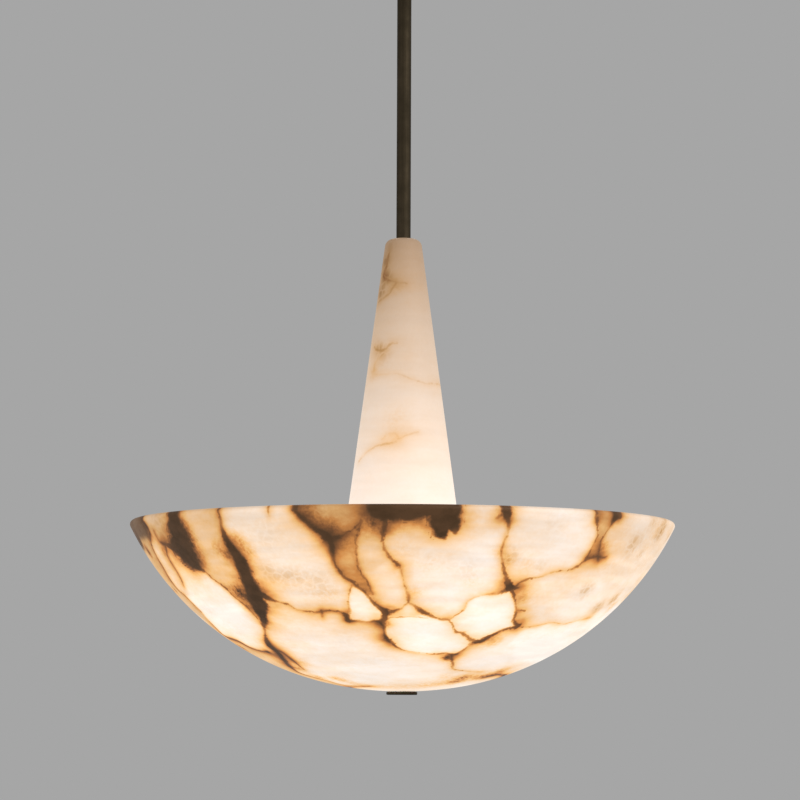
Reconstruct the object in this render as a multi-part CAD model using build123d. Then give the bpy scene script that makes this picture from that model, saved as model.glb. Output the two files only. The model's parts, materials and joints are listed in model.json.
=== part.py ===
from build123d import *
import os
from math import sqrt

# An alabaster pendant light: a shallow stone bowl and a hollow stone spire on a bronze stem.
# A threaded tube runs down from the stem through the spire, the lamps and the bowl, and a finial
# screwed on its lower end carries the bowl. A ball swivel in the canopy lets the light hang straight.
# Millimetres, +Z up. The origin is the centre of the ceiling plate's top face, on the ceiling.

# Clearances
PRESS_CLEARANCE = 0.02    # pins and screws that stay put, radial
RUN_CLEARANCE = 0.05      # a shaft in its hole, radial
FREE_CLEARANCE = 0.3      # curved faces that pass each other
THRUST_CLEARANCE = 0.1    # flat faces that turn or slide on each other

# Ceiling plate
SLOT_SPACING = 84.0
SLOT_LENGTH = 14.0
SLOT_WIDTH = 5.5
PLATE_MARGIN = 5.0
PLATE_THICKNESS = 6.0
SUPPLY_HOLE_RADIUS = 9.0
SUPPLY_HOLE_MARGIN = 3.0

# Hang-straight swivel: a ball on two trunnion pins in a ring that turns in a housing
BALL_RADIUS = 16.0
BALL_TOP_GAP = 3.0
BALL_BORE_RADIUS = 4.0
BALL_FLAT_MARGIN = 0.3
SPIGOT_LENGTH = 20.0
PIN_RADIUS = 2.5
PIN_LENGTH = 9.5
RING_WALL = 3.5
RING_LIGAMENT = 3.5
HOUSING_WALL = 3.5
HOUSING_LIP = 2.0
FLANGE_WIDTH = 7.5
FLANGE_THICKNESS = 3.0
HOUSING_SCREW_COUNT = 4
HOUSING_SCREW_RADIUS = 2.0
HOUSING_SCREW_LENGTH = 8.0
WIRE_NOTCH_WIDTH = 8.0
WIRE_NOTCH_DEPTH = 8.0
STOP_PIN_RADIUS = 1.5
STOP_PIN_HEIGHT = 5.0
STOP_PIN_SEAT = 4.0

# Canopy
CANOPY_WALL = 1.5
CANOPY_GAP = 0.5
CANOPY_HOLE_GAP = 0.5
CANOPY_EDGE_RADIUS = 5.0
CANOPY_SCREW_COUNT = 3
CANOPY_SCREW_RADIUS = 1.8
CANOPY_SCREW_GRIP = 8.0
CANOPY_SCREW_TURN = 30.0

# Fastener heads, as shares of the shank
HEAD_RADIUS_SHARE = 1.7
HEAD_HEIGHT_SHARE = 1.0
HEAD_ROUND_SHARE = 0.6

# Wiring terminals on the plate
TERMINAL_POLES = 3
TERMINAL_PITCH = 8.5
TERMINAL_DEPTH = 13.0
TERMINAL_BASE = 5.0
TERMINAL_HEIGHT = 12.0
TERMINAL_TOWER = 7.0
TERMINAL_GAP = 2.0
TERMINAL_WIRE_RADIUS = 1.6
TERMINAL_SCREW_RADIUS = 1.7
TERMINAL_SCREW_HEIGHT = 1.5
EARTH_TURN = 225.0
EARTH_SCREW_RADIUS = 2.0
EARTH_SCREW_LENGTH = 5.0
EARTH_WASHER_RADIUS = 5.0
EARTH_WASHER_THICKNESS = 1.0

# Stem and the threaded tube below it
STEM_RADIUS = 8.0
STEM_WALL = 1.5
STEM_LENGTH = 326.0
SET_SCREW_RADIUS = 1.5
BUSH_LENGTH = 18.0
BUSH_FLANGE_THICKNESS = 4.0
TUBE_RADIUS = 5.0
TUBE_BORE_RADIUS = 3.75
NUT_FLATS = 17.0
NUT_HEIGHT = 4.5

# Alabaster spire
CONE_HEIGHT = 343.0
CONE_TOP_RADIUS = 19.6
CONE_BASE_RADIUS = 65.8
CONE_WALL = 11.0
CONE_CROWN = 30.0
CONE_TOP_ROUND = 9.0
CONE_BASE_ROUND = 1.5
GROMMET_WALL = 1.6
GROMMET_FLANGE = 3.0
GROMMET_FLANGE_WIDTH = 2.5
GROMMET_RECESS = 2.0
CONE_GASKET = 2.0

# Carrier under the spire
CARRIER_SHOULDER = 1.8
CARRIER_THICKNESS = 4.0
CARRIER_LIP_HEIGHT = 5.0
CARRIER_LIP_WALL = 2.4
CARRIER_ARM_COUNT = 4
CARRIER_ARM_WIDTH = 9.0
CARRIER_HUB_RADIUS = 11.0
CARRIER_HUB_HEIGHT = 12.0
CONE_LAMP_PLACE = 27.0
LAMP_PAD_MARGIN = 1.5

# Lamp cluster in the bowl
CLUSTER_DROP = 60.0       # from the carrier's top face to the lamps' axes
CLUSTER_FLATS = 52.0
CLUSTER_CORNERS = 60.0
CLUSTER_HEIGHT = 26.0
CLUSTER_WALL = 2.5
CLUSTER_COVER = 2.5
CLUSTER_COVER_SPIGOT = 2.0
CLUSTER_COVER_ROUND = 1.0
CLUSTER_TURN = 45.0
BOWL_LAMP_COUNT = 4
CONE_LAMP_COUNT = 2
ARM_RADIUS = 5.0
ARM_BORE_RADIUS = 2.5
ARM_LENGTH = 22.0
ARM_COLLAR_RADIUS = 7.5
ARM_COLLAR_THICKNESS = 3.0
ARM_COLLAR_ROUND = 0.75
ARM_SPIGOT_RADIUS = 4.0
ARM_SPIGOT_REACH = 3.0

# Pin-based lamp and its holder
HOLDER_RADIUS = 9.5
HOLDER_LENGTH = 24.0
HOLDER_ROUND = 1.5
HOLDER_SOCKET = 6.0
LAMP_BASE_LENGTH = 10.0
LAMP_GLOBE_RADIUS = 9.0
LAMP_GLOBE_WALL = 1.4
LAMP_GLOBE_LENGTH = 38.0
LAMP_GLOBE_SEAT = 3.0
LAMP_PIN_SPACING = 9.0
LAMP_PIN_WIDTH = 4.0
LAMP_PIN_THICKNESS = 1.0
LAMP_PIN_LENGTH = 9.0

# Alabaster bowl, of a flatter arc below and a rounder arc above
BOWL_RADIUS = 300.0
BOWL_DEPTH = 185.0
BOWL_WALL = 13.0
BOWL_BASE_ARC = 387.0
BOWL_BLEND_RADIUS = 59.0
BOWL_RIM_ROUND = 4.0
BOWL_ABOVE_CONE_BASE = 25.0
BOWL_HOLE_GAP = 1.0

# Clamp inside the bowl and finial under it
CLAMP_RADIUS = 44.0
CLAMP_THICKNESS = 3.0
CLAMP_ROUND = 1.0
CLAMP_GASKET = 2.0
CLAMP_LAND_MARGIN = 6.0
FINIAL_RADIUS = 17.0
FINIAL_THICKNESS = 3.2
FINIAL_ROUND = 1.2
FINIAL_BOSS_RADIUS = 8.0
FINIAL_GASKET = 1.0
GASKET_INSET = 1.0
FINIAL_SPOT_MARGIN = 1.0

# Ceiling end, worked out from the ceiling downwards
PLATE_RADIUS = SLOT_SPACING / 2 + SLOT_LENGTH / 2 + PLATE_MARGIN
SUPPLY_HOLE_PLACE = PLATE_RADIUS - SUPPLY_HOLE_MARGIN - SUPPLY_HOLE_RADIUS
PLATE_BOTTOM = -PLATE_THICKNESS
PIVOT_Z = PLATE_BOTTOM - BALL_TOP_GAP - BALL_RADIUS
SEAT_RADIUS = BALL_RADIUS + FREE_CLEARANCE
RING_RADIUS = SEAT_RADIUS + RING_WALL
RING_TOP = PIVOT_Z + PIN_RADIUS + RING_LIGAMENT
RING_BOTTOM = PIVOT_Z - PIN_RADIUS - RING_LIGAMENT
HOUSING_BORE_RADIUS = RING_RADIUS + RUN_CLEARANCE
HOUSING_RADIUS = HOUSING_BORE_RADIUS + HOUSING_WALL
HOUSING_SEAT = RING_BOTTOM - THRUST_CLEARANCE
HOUSING_BOTTOM = HOUSING_SEAT - HOUSING_LIP
FLANGE_RADIUS = HOUSING_RADIUS + FLANGE_WIDTH
FLANGE_BOTTOM = PLATE_BOTTOM - FLANGE_THICKNESS
CANOPY_BORE_RADIUS = PLATE_RADIUS + CANOPY_GAP
CANOPY_RADIUS = CANOPY_BORE_RADIUS + CANOPY_WALL
CANOPY_FLOOR = HOUSING_BOTTOM - THRUST_CLEARANCE
CANOPY_BOTTOM = CANOPY_FLOOR - CANOPY_WALL
STOP_PLACE = (SEAT_RADIUS + RING_RADIUS) / 2
EARTH_PLACE = (FLANGE_RADIUS + PLATE_RADIUS) / 2

# Stem, spire and carrier
STEM_BORE_RADIUS = STEM_RADIUS - STEM_WALL
STEM_TOP = PIVOT_Z - sqrt(BALL_RADIUS**2 - (STEM_RADIUS + BALL_FLAT_MARGIN) ** 2)
STEM_BOTTOM = STEM_TOP - STEM_LENGTH
TUBE_HOLE_RADIUS = TUBE_RADIUS + RUN_CLEARANCE
CONE_TOP = STEM_BOTTOM + CONE_CROWN + GROMMET_FLANGE
CONE_BASE = CONE_TOP - CONE_HEIGHT
CONE_CEILING = CONE_TOP - CONE_CROWN
CONE_HOLE_RADIUS = STEM_RADIUS + GROMMET_WALL + 2 * RUN_CLEARANCE
CONE_FLANGE_RADIUS = CONE_HOLE_RADIUS + GROMMET_FLANGE_WIDTH
CAVITY_BASE_RADIUS = CONE_BASE_RADIUS - CONE_WALL
CAVITY_TOP_RADIUS = CONE_FLANGE_RADIUS + FREE_CLEARANCE
CARRIER_TOP = CONE_BASE - CONE_GASKET
CARRIER_BOTTOM = CARRIER_TOP - CARRIER_HUB_HEIGHT

# Lamps: each is modelled along its own axis, from the back of its holder
LAMP_SEAT = HOLDER_LENGTH
LAMP_BASE_RADIUS = LAMP_GLOBE_RADIUS - LAMP_GLOBE_WALL - RUN_CLEARANCE
GLOBE_START = LAMP_SEAT + LAMP_BASE_LENGTH - LAMP_GLOBE_SEAT
CLUSTER_Z = CARRIER_TOP - CLUSTER_DROP
CLUSTER_TOP = CLUSTER_Z + CLUSTER_HEIGHT / 2
CLUSTER_BOTTOM = CLUSTER_Z - CLUSTER_HEIGHT / 2

# Bowl
RIM_Z = CONE_BASE + BOWL_ABOVE_CONE_BASE
BOWL_BASE_CENTRE = RIM_Z - BOWL_DEPTH + BOWL_BASE_ARC
CLAMP_LAND_RADIUS = CLAMP_RADIUS + CLAMP_LAND_MARGIN
CLAMP_LAND = BOWL_BASE_CENTRE - sqrt((BOWL_BASE_ARC - BOWL_WALL) ** 2 - CLAMP_LAND_RADIUS**2)
FINIAL_SPOT_RADIUS = FINIAL_RADIUS + FINIAL_SPOT_MARGIN
FINIAL_SPOT = BOWL_BASE_CENTRE - sqrt(BOWL_BASE_ARC**2 - FINIAL_SPOT_RADIUS**2)
BOWL_HOLE_RADIUS = FINIAL_BOSS_RADIUS + BOWL_HOLE_GAP
FINIAL_TOP = FINIAL_SPOT - FINIAL_GASKET
FINIAL_BOTTOM = FINIAL_TOP - FINIAL_THICKNESS
CLAMP_BOTTOM = CLAMP_LAND + CLAMP_GASKET
CLAMP_TOP = CLAMP_BOTTOM + CLAMP_THICKNESS


def rod(radius, bottom, top):
    """A round bar on the light's axis."""
    return Pos(0, 0, bottom) * extrude(Circle(radius), top - bottom)


def tube(radius, bore, bottom, top):
    """A round wall on the light's axis."""
    return rod(radius, bottom, top) - rod(bore, bottom, top)


def turned(outline):
    """A solid of revolution from an outline drawn in radius and height."""
    return revolve(Plane.XZ * outline, Axis.Z)


def polygon(*points):
    """A closed straight-sided outline in radius and height."""
    return make_face(Polyline(*points, close=True))


def rounded(outline, corner, radius):
    """An outline with the corner nearest a point rounded."""
    return fillet(outline.vertices().sort_by_distance(corner)[0], radius)


def group(separate):
    """Separate pieces kept as one set."""
    return Compound(children=list(separate))


def around(count, start=0.0):
    """Turns about the light's axis, evenly spaced."""
    return [Rot(0, 0, start + 360.0 * i / count) for i in range(count)]


def radial(reach, height):
    """A place on the +X side whose own +Z axis points away from the light's axis."""
    return Pos(reach, 0, height) * Rot(0, 90, 0)


def screw(radius, length):
    """A domed screw whose head sits on the plane Z 0, with its shank above it."""
    head_radius = radius * HEAD_RADIUS_SHARE
    head_height = radius * HEAD_HEIGHT_SHARE
    head = rod(head_radius, -head_height, 0)
    head = fillet(head.edges().group_by(Axis.Z)[0], radius * HEAD_ROUND_SHARE)
    return head + rod(radius, 0, length)


def cavity_radius(height):
    """Radius of the hollow in the spire at a height."""
    share = (height - CONE_BASE) / (CONE_CEILING - CONE_BASE)
    return CAVITY_BASE_RADIUS + (CAVITY_TOP_RADIUS - CAVITY_BASE_RADIUS) * share


def housing_screw_places():
    """Where the housing is screwed up to the plate."""
    circle = HOUSING_RADIUS + FLANGE_WIDTH / 2
    turns = around(HOUSING_SCREW_COUNT, 180.0 / HOUSING_SCREW_COUNT)
    return [turn * Pos(circle, 0, FLANGE_BOTTOM) for turn in turns]


def canopy_screw_places():
    """Where the canopy is screwed to the plate's edge, with each shank pointing inwards."""
    middle = -PLATE_THICKNESS / 2
    turns = around(CANOPY_SCREW_COUNT, CANOPY_SCREW_TURN)
    return [turn * Pos(CANOPY_RADIUS, 0, middle) * Rot(0, -90, 0) for turn in turns]


def ceiling_plate():
    """The disc that is screwed to the ceiling, with two slots and a hole for the supply cable."""
    plate = rod(PLATE_RADIUS, PLATE_BOTTOM, 0)
    slot = Pos(0, 0, PLATE_BOTTOM) * extrude(SlotOverall(SLOT_LENGTH, SLOT_WIDTH), PLATE_THICKNESS)
    for side in (-1, 1):
        plate -= Pos(side * SLOT_SPACING / 2, 0, 0) * slot
    plate -= Pos(0, SUPPLY_HOLE_PLACE, 0) * rod(SUPPLY_HOLE_RADIUS, PLATE_BOTTOM, 0)
    for place in housing_screw_places():
        plate -= place * rod(HOUSING_SCREW_RADIUS + PRESS_CLEARANCE, 0, HOUSING_SCREW_LENGTH)
    reach = CANOPY_GAP + CANOPY_WALL + CANOPY_SCREW_GRIP
    for place in canopy_screw_places():
        plate -= place * rod(CANOPY_SCREW_RADIUS + PRESS_CLEARANCE, 0, reach)
    earth = Rot(0, 0, EARTH_TURN) * Pos(EARTH_PLACE, 0, PLATE_BOTTOM)
    plate -= earth * rod(EARTH_SCREW_RADIUS + PRESS_CLEARANCE, 0, EARTH_SCREW_LENGTH)
    return plate


def swivel_housing():
    """The cup under the plate that the swivel ring turns in."""
    seat_drop = PIVOT_Z - HOUSING_SEAT
    lip_radius = sqrt(SEAT_RADIUS**2 - seat_drop**2) + FREE_CLEARANCE
    housing = turned(polygon(
        (HOUSING_BORE_RADIUS, PLATE_BOTTOM),
        (FLANGE_RADIUS, PLATE_BOTTOM),
        (FLANGE_RADIUS, FLANGE_BOTTOM),
        (HOUSING_RADIUS, FLANGE_BOTTOM),
        (HOUSING_RADIUS, HOUSING_BOTTOM),
        (lip_radius, HOUSING_BOTTOM),
        (lip_radius, HOUSING_SEAT),
        (HOUSING_BORE_RADIUS, HOUSING_SEAT),
    ))
    notch = Box(WIRE_NOTCH_WIDTH, FLANGE_RADIUS, WIRE_NOTCH_DEPTH)
    housing -= Pos(0, -FLANGE_RADIUS / 2 - BALL_RADIUS, PLATE_BOTTOM - WIRE_NOTCH_DEPTH / 2) * notch
    for place in housing_screw_places():
        housing -= place * rod(HOUSING_SCREW_RADIUS + PRESS_CLEARANCE, 0, FLANGE_THICKNESS)
    return housing - stop_rod(STOP_PIN_RADIUS + PRESS_CLEARANCE)


def stop_rod(radius):
    """A bar through the housing's back, from the path of the ring's pin to the outer face."""
    tip = SEAT_RADIUS + FREE_CLEARANCE
    place = Rot(0, 0, 90) * radial(tip, RING_TOP + STOP_PIN_HEIGHT / 2)
    return place * rod(radius, 0, HOUSING_RADIUS - tip)


def swivel_ring():
    """The ring that turns in the housing and holds the ball on its trunnion pins."""
    low_radius = sqrt(SEAT_RADIUS**2 - (PIVOT_Z - RING_BOTTOM) ** 2)
    seat = RadiusArc((SEAT_RADIUS, PIVOT_Z), (low_radius, RING_BOTTOM), SEAT_RADIUS)
    walls = Polyline(
        (low_radius, RING_BOTTOM),
        (RING_RADIUS, RING_BOTTOM),
        (RING_RADIUS, RING_TOP),
        (SEAT_RADIUS, RING_TOP),
        (SEAT_RADIUS, PIVOT_Z),
    )
    ring = turned(make_face([*walls.edges(), *seat.edges()]))
    for turn in around(2):
        ring -= turn * radial(0, PIVOT_Z) * rod(PIN_RADIUS + PRESS_CLEARANCE, BALL_RADIUS / 2, RING_RADIUS)
    seat_hole = rod(STOP_PIN_RADIUS + PRESS_CLEARANCE, RING_TOP - STOP_PIN_SEAT, RING_TOP)
    return ring - Pos(0, -STOP_PLACE, 0) * seat_hole


def trunnion_pins():
    """Two stub pins through the ring into the ball."""
    end = RING_RADIUS - FREE_CLEARANCE
    pin = radial(0, PIVOT_Z) * rod(PIN_RADIUS, end - PIN_LENGTH, end)
    return group(turn * pin for turn in around(2))


def stop_pin():
    """The dowel on the ring that ends its turn."""
    pin = rod(STOP_PIN_RADIUS, RING_TOP - STOP_PIN_SEAT, RING_TOP + STOP_PIN_HEIGHT)
    return Pos(0, -STOP_PLACE, 0) * pin


def swivel_ball():
    """The bored ball with a spigot for the stem."""
    ball = Pos(0, 0, PIVOT_Z) * Sphere(BALL_RADIUS)
    ball -= rod(BALL_RADIUS, PIVOT_Z - 2 * BALL_RADIUS, STEM_TOP)
    ball += rod(STEM_BORE_RADIUS - RUN_CLEARANCE, STEM_TOP - SPIGOT_LENGTH, STEM_TOP)
    ball -= rod(BALL_BORE_RADIUS, STEM_TOP - SPIGOT_LENGTH, PIVOT_Z + BALL_RADIUS)
    pin_end = RING_RADIUS - PIN_LENGTH - 2 * FREE_CLEARANCE
    for turn in around(2):
        ball -= turn * radial(0, PIVOT_Z) * rod(PIN_RADIUS + RUN_CLEARANCE, pin_end, BALL_RADIUS)
    return ball - set_screw_rod(SET_SCREW_RADIUS + PRESS_CLEARANCE, STEM_RADIUS)


def set_screw_rod(radius, end):
    """A bar at the back, across the stem's wall and the spigot, from the ball's bore outwards."""
    return Rot(0, 0, 90) * radial(0, STEM_TOP - SPIGOT_LENGTH / 2) * rod(radius, BALL_BORE_RADIUS, end)


def stem_set_screw():
    """The headless screw that locks the stem to the ball."""
    return set_screw_rod(SET_SCREW_RADIUS, STEM_RADIUS - FREE_CLEARANCE)


def canopy():
    """The turned cup that covers the plate and the swivel, open at the ceiling."""
    floor_drop = PIVOT_Z - CANOPY_FLOOR
    hole_radius = sqrt(BALL_RADIUS**2 - floor_drop**2) + CANOPY_HOLE_GAP
    outline = polygon(
        (hole_radius, CANOPY_BOTTOM),
        (CANOPY_RADIUS, CANOPY_BOTTOM),
        (CANOPY_RADIUS, -CANOPY_GAP),
        (CANOPY_BORE_RADIUS, -CANOPY_GAP),
        (CANOPY_BORE_RADIUS, CANOPY_FLOOR),
        (hole_radius, CANOPY_FLOOR),
    )
    outline = rounded(outline, (CANOPY_RADIUS, CANOPY_BOTTOM), CANOPY_EDGE_RADIUS)
    outline = rounded(outline, (CANOPY_BORE_RADIUS, CANOPY_FLOOR), CANOPY_EDGE_RADIUS - CANOPY_WALL)
    cup = turned(outline)
    for place in canopy_screw_places():
        cup -= place * rod(CANOPY_SCREW_RADIUS + PRESS_CLEARANCE, 0, 2 * CANOPY_WALL)
    return cup


def canopy_screws():
    """The screws through the canopy's side into the plate's edge."""
    length = CANOPY_WALL + CANOPY_GAP + CANOPY_SCREW_GRIP - FREE_CLEARANCE
    return group(place * screw(CANOPY_SCREW_RADIUS, length) for place in canopy_screw_places())


def housing_screws():
    """The screws that hold the housing up to the plate."""
    length = HOUSING_SCREW_LENGTH - FREE_CLEARANCE
    return group(place * screw(HOUSING_SCREW_RADIUS, length) for place in housing_screw_places())


def stop_screw():
    """The headless screw that the ring's pin stops against."""
    return stop_rod(STOP_PIN_RADIUS)


def terminal_centre():
    """The middle of the terminal block on the plate's underside."""
    return Pos(0, -FLANGE_RADIUS - TERMINAL_GAP - TERMINAL_DEPTH / 2, PLATE_BOTTOM)


def terminal_pole_places():
    """One place for each pole, along X."""
    first = -TERMINAL_PITCH * (TERMINAL_POLES - 1) / 2
    return [terminal_centre() * Pos(first + TERMINAL_PITCH * i, 0, 0) for i in range(TERMINAL_POLES)]


def terminal_screw_places():
    """Two screw wells in the underside of each pole."""
    sides = (-TERMINAL_DEPTH / 4, TERMINAL_DEPTH / 4)
    return [pole * Pos(0, side, -TERMINAL_HEIGHT) for pole in terminal_pole_places() for side in sides]


def terminal_block():
    """The moulded strip that joins the supply to the lamp leads."""
    width = TERMINAL_PITCH * TERMINAL_POLES
    block = terminal_centre() * Pos(0, 0, -TERMINAL_BASE / 2) * Box(width, TERMINAL_DEPTH, TERMINAL_BASE)
    tower = Pos(0, 0, -TERMINAL_HEIGHT / 2) * Box(TERMINAL_TOWER, TERMINAL_DEPTH, TERMINAL_HEIGHT)
    way = Pos(0, 0, -(TERMINAL_BASE + TERMINAL_HEIGHT) / 2 + TERMINAL_WIRE_RADIUS)
    way *= Rot(90, 0, 0) * Cylinder(TERMINAL_WIRE_RADIUS, TERMINAL_DEPTH)
    for pole in terminal_pole_places():
        block += pole * tower
    for pole in terminal_pole_places():
        block -= pole * way
    for place in terminal_screw_places():
        block -= place * rod(TERMINAL_SCREW_RADIUS + PRESS_CLEARANCE, 0, TERMINAL_SCREW_HEIGHT)
    return block


def terminal_screws():
    """The clamping screws in the terminal block's wells."""
    plug = rod(TERMINAL_SCREW_RADIUS, 0, TERMINAL_SCREW_HEIGHT)
    return group(place * plug for place in terminal_screw_places())


def earth_terminal():
    """The earth screw on the plate, with its washer."""
    place = Rot(0, 0, EARTH_TURN) * Pos(EARTH_PLACE, 0, PLATE_BOTTOM)
    hole = EARTH_SCREW_RADIUS + PRESS_CLEARANCE
    washer = tube(EARTH_WASHER_RADIUS, hole, -EARTH_WASHER_THICKNESS, 0)
    shank = EARTH_WASHER_THICKNESS + EARTH_SCREW_LENGTH - FREE_CLEARANCE
    clamp = Pos(0, 0, -EARTH_WASHER_THICKNESS) * screw(EARTH_SCREW_RADIUS, shank)
    return group([place * washer, place * clamp])


def stem():
    """The bronze tube between the canopy and the spire."""
    wall = tube(STEM_RADIUS, STEM_BORE_RADIUS, STEM_BOTTOM, STEM_TOP)
    return wall - set_screw_rod(SET_SCREW_RADIUS + PRESS_CLEARANCE, 2 * STEM_RADIUS)


def stem_end_bush():
    """The flanged bush in the stem's lower end that the threaded tube screws into."""
    bush = tube(STEM_BORE_RADIUS - RUN_CLEARANCE, TUBE_HOLE_RADIUS, STEM_BOTTOM, STEM_BOTTOM + BUSH_LENGTH)
    flange = tube(CONE_FLANGE_RADIUS, TUBE_HOLE_RADIUS, STEM_BOTTOM - BUSH_FLANGE_THICKNESS, STEM_BOTTOM)
    return bush + flange


def threaded_tube():
    """The hollow tie rod from the stem's bush to the finial."""
    top = STEM_BOTTOM + BUSH_LENGTH - RUN_CLEARANCE
    return tube(TUBE_RADIUS, TUBE_BORE_RADIUS, FINIAL_TOP, top)


def alabaster_cone():
    """The hollow stone spire, rounded at its crown and bored for the stem."""
    foot = (CONE_BASE_RADIUS, CONE_BASE)
    crown = (CONE_TOP_RADIUS, CONE_TOP)
    outline = polygon(
        (CAVITY_BASE_RADIUS, CONE_BASE),
        foot,
        crown,
        (CONE_HOLE_RADIUS, CONE_TOP),
        (CONE_HOLE_RADIUS, CONE_CEILING),
        (CAVITY_TOP_RADIUS, CONE_CEILING),
    )
    outline = rounded(outline, crown, CONE_TOP_ROUND)
    return turned(rounded(outline, foot, CONE_BASE_ROUND))


def cone_grommet():
    """The soft sleeve between the stem and the spire's bore, with a flange under the crown."""
    bore = STEM_RADIUS + RUN_CLEARANCE
    sleeve = tube(CONE_HOLE_RADIUS - RUN_CLEARANCE, bore, CONE_CEILING, CONE_TOP - GROMMET_RECESS)
    return sleeve + tube(CONE_FLANGE_RADIUS, bore, STEM_BOTTOM, CONE_CEILING)


def cone_gasket():
    """The soft ring between the spire's foot and the carrier."""
    inner = CAVITY_BASE_RADIUS + FREE_CLEARANCE
    return tube(CONE_BASE_RADIUS - CARRIER_SHOULDER, inner, CARRIER_TOP, CONE_BASE)


def cone_carrier():
    """The brass spider that the spire stands on, open between its arms to let light up."""
    ring_bottom = CARRIER_TOP - CARRIER_THICKNESS
    lip_top = CONE_BASE + CARRIER_LIP_HEIGHT
    lip_radius = cavity_radius(lip_top) - FREE_CLEARANCE
    inner = lip_radius - CARRIER_LIP_WALL
    outer = CONE_BASE_RADIUS - CARRIER_SHOULDER
    carrier = turned(polygon(
        (inner, ring_bottom),
        (outer, ring_bottom),
        (outer, CARRIER_TOP),
        (lip_radius, CARRIER_TOP),
        (lip_radius, lip_top),
        (inner, lip_top),
    ))
    carrier += rod(CARRIER_HUB_RADIUS, CARRIER_BOTTOM, CARRIER_TOP)
    arm = Box(lip_radius, CARRIER_ARM_WIDTH, CARRIER_THICKNESS)
    arm = Pos(lip_radius / 2, 0, CARRIER_TOP - CARRIER_THICKNESS / 2) * arm
    for turn in around(CARRIER_ARM_COUNT):
        carrier += turn * arm
    pad = rod(HOLDER_RADIUS + LAMP_PAD_MARGIN, ring_bottom, CARRIER_TOP)
    pad += rod(ARM_SPIGOT_RADIUS, CARRIER_TOP, CARRIER_TOP + HOLDER_SOCKET - FREE_CLEARANCE)
    for turn in around(CONE_LAMP_COUNT):
        place = turn * Pos(CONE_LAMP_PLACE, 0, 0)
        carrier += place * pad
        carrier -= place * rod(ARM_BORE_RADIUS, ring_bottom, CARRIER_TOP + HOLDER_SOCKET)
    return carrier - rod(TUBE_HOLE_RADIUS, CARRIER_BOTTOM, CARRIER_TOP)


def cluster_outline(inset):
    """The cluster's plan: a round bar with four milled flats, taken in by a wall."""
    side = CLUSTER_FLATS - 2 * inset
    return Circle(CLUSTER_CORNERS / 2 - inset) & Rectangle(side, side)


def cluster_body():
    """The wiring cup that the lamp arms screw into, open at the top."""
    body = Pos(0, 0, CLUSTER_BOTTOM) * extrude(cluster_outline(0), CLUSTER_HEIGHT)
    hollow = extrude(cluster_outline(CLUSTER_WALL), CLUSTER_HEIGHT)
    body -= Pos(0, 0, CLUSTER_BOTTOM + CLUSTER_WALL) * hollow
    body -= rod(TUBE_HOLE_RADIUS, CLUSTER_BOTTOM, CLUSTER_TOP)
    hole = radial(CLUSTER_FLATS / 2 - 2 * CLUSTER_WALL, CLUSTER_Z)
    hole *= rod(ARM_SPIGOT_RADIUS + PRESS_CLEARANCE, 0, 3 * CLUSTER_WALL)
    for turn in around(BOWL_LAMP_COUNT):
        body -= turn * hole
    return Rot(0, 0, CLUSTER_TURN) * body


def cluster_cover():
    """The lid of the wiring cup, with a spigot that centres it."""
    lid = Pos(0, 0, CLUSTER_TOP) * extrude(cluster_outline(0), CLUSTER_COVER)
    spigot_plan = cluster_outline(CLUSTER_WALL + FREE_CLEARANCE)
    lid += Pos(0, 0, CLUSTER_TOP - CLUSTER_COVER_SPIGOT) * extrude(spigot_plan, CLUSTER_COVER_SPIGOT)
    top = CLUSTER_TOP + CLUSTER_COVER
    lid = fillet(lid.edges().group_by(Axis.Z)[-1], CLUSTER_COVER_ROUND)
    return Rot(0, 0, CLUSTER_TURN) * (lid - rod(TUBE_HOLE_RADIUS, CLUSTER_TOP - CLUSTER_COVER_SPIGOT, top))


def lamp_arm():
    """A turned arm on its own axis: the cluster's flat is at Z 0 and the holder at its far end."""
    collar = rod(ARM_COLLAR_RADIUS, 0, ARM_COLLAR_THICKNESS)
    arm = fillet(collar.edges().filter_by(GeomType.CIRCLE), ARM_COLLAR_ROUND)
    arm += rod(ARM_RADIUS, 0, ARM_LENGTH)
    arm += rod(ARM_SPIGOT_RADIUS, -CLUSTER_WALL - ARM_SPIGOT_REACH, 0)
    arm += rod(ARM_SPIGOT_RADIUS, ARM_LENGTH, ARM_LENGTH + HOLDER_SOCKET - FREE_CLEARANCE)
    return arm - rod(ARM_BORE_RADIUS, -CLUSTER_WALL - ARM_SPIGOT_REACH, ARM_LENGTH + HOLDER_SOCKET)


def lampholder():
    """A ceramic two-pin lampholder on its own axis, with its back at Z 0."""
    holder = rod(HOLDER_RADIUS, 0, HOLDER_LENGTH)
    holder = fillet(holder.edges().filter_by(GeomType.CIRCLE), HOLDER_ROUND)
    holder -= rod(ARM_SPIGOT_RADIUS + PRESS_CLEARANCE, 0, HOLDER_SOCKET)
    slot = Box(LAMP_PIN_THICKNESS, LAMP_PIN_WIDTH, LAMP_PIN_LENGTH)
    slot = offset(slot, FREE_CLEARANCE, kind=Kind.INTERSECTION)
    for side in (-1, 1):
        place = Pos(side * LAMP_PIN_SPACING / 2, 0, HOLDER_LENGTH - LAMP_PIN_LENGTH / 2)
        holder -= place * slot
    return holder


def lamp_base():
    """The lamp's ceramic base with its two pins, on the holder's axis."""
    base = rod(LAMP_BASE_RADIUS, LAMP_SEAT, LAMP_SEAT + LAMP_BASE_LENGTH)
    pin = Box(LAMP_PIN_THICKNESS, LAMP_PIN_WIDTH, LAMP_PIN_LENGTH)
    for side in (-1, 1):
        base += Pos(side * LAMP_PIN_SPACING / 2, 0, LAMP_SEAT - LAMP_PIN_LENGTH / 2) * pin
    return base


def lamp_globe():
    """The lamp's opal capsule over its base, on the holder's axis."""
    return capsule(0) - capsule(LAMP_GLOBE_WALL)


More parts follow.
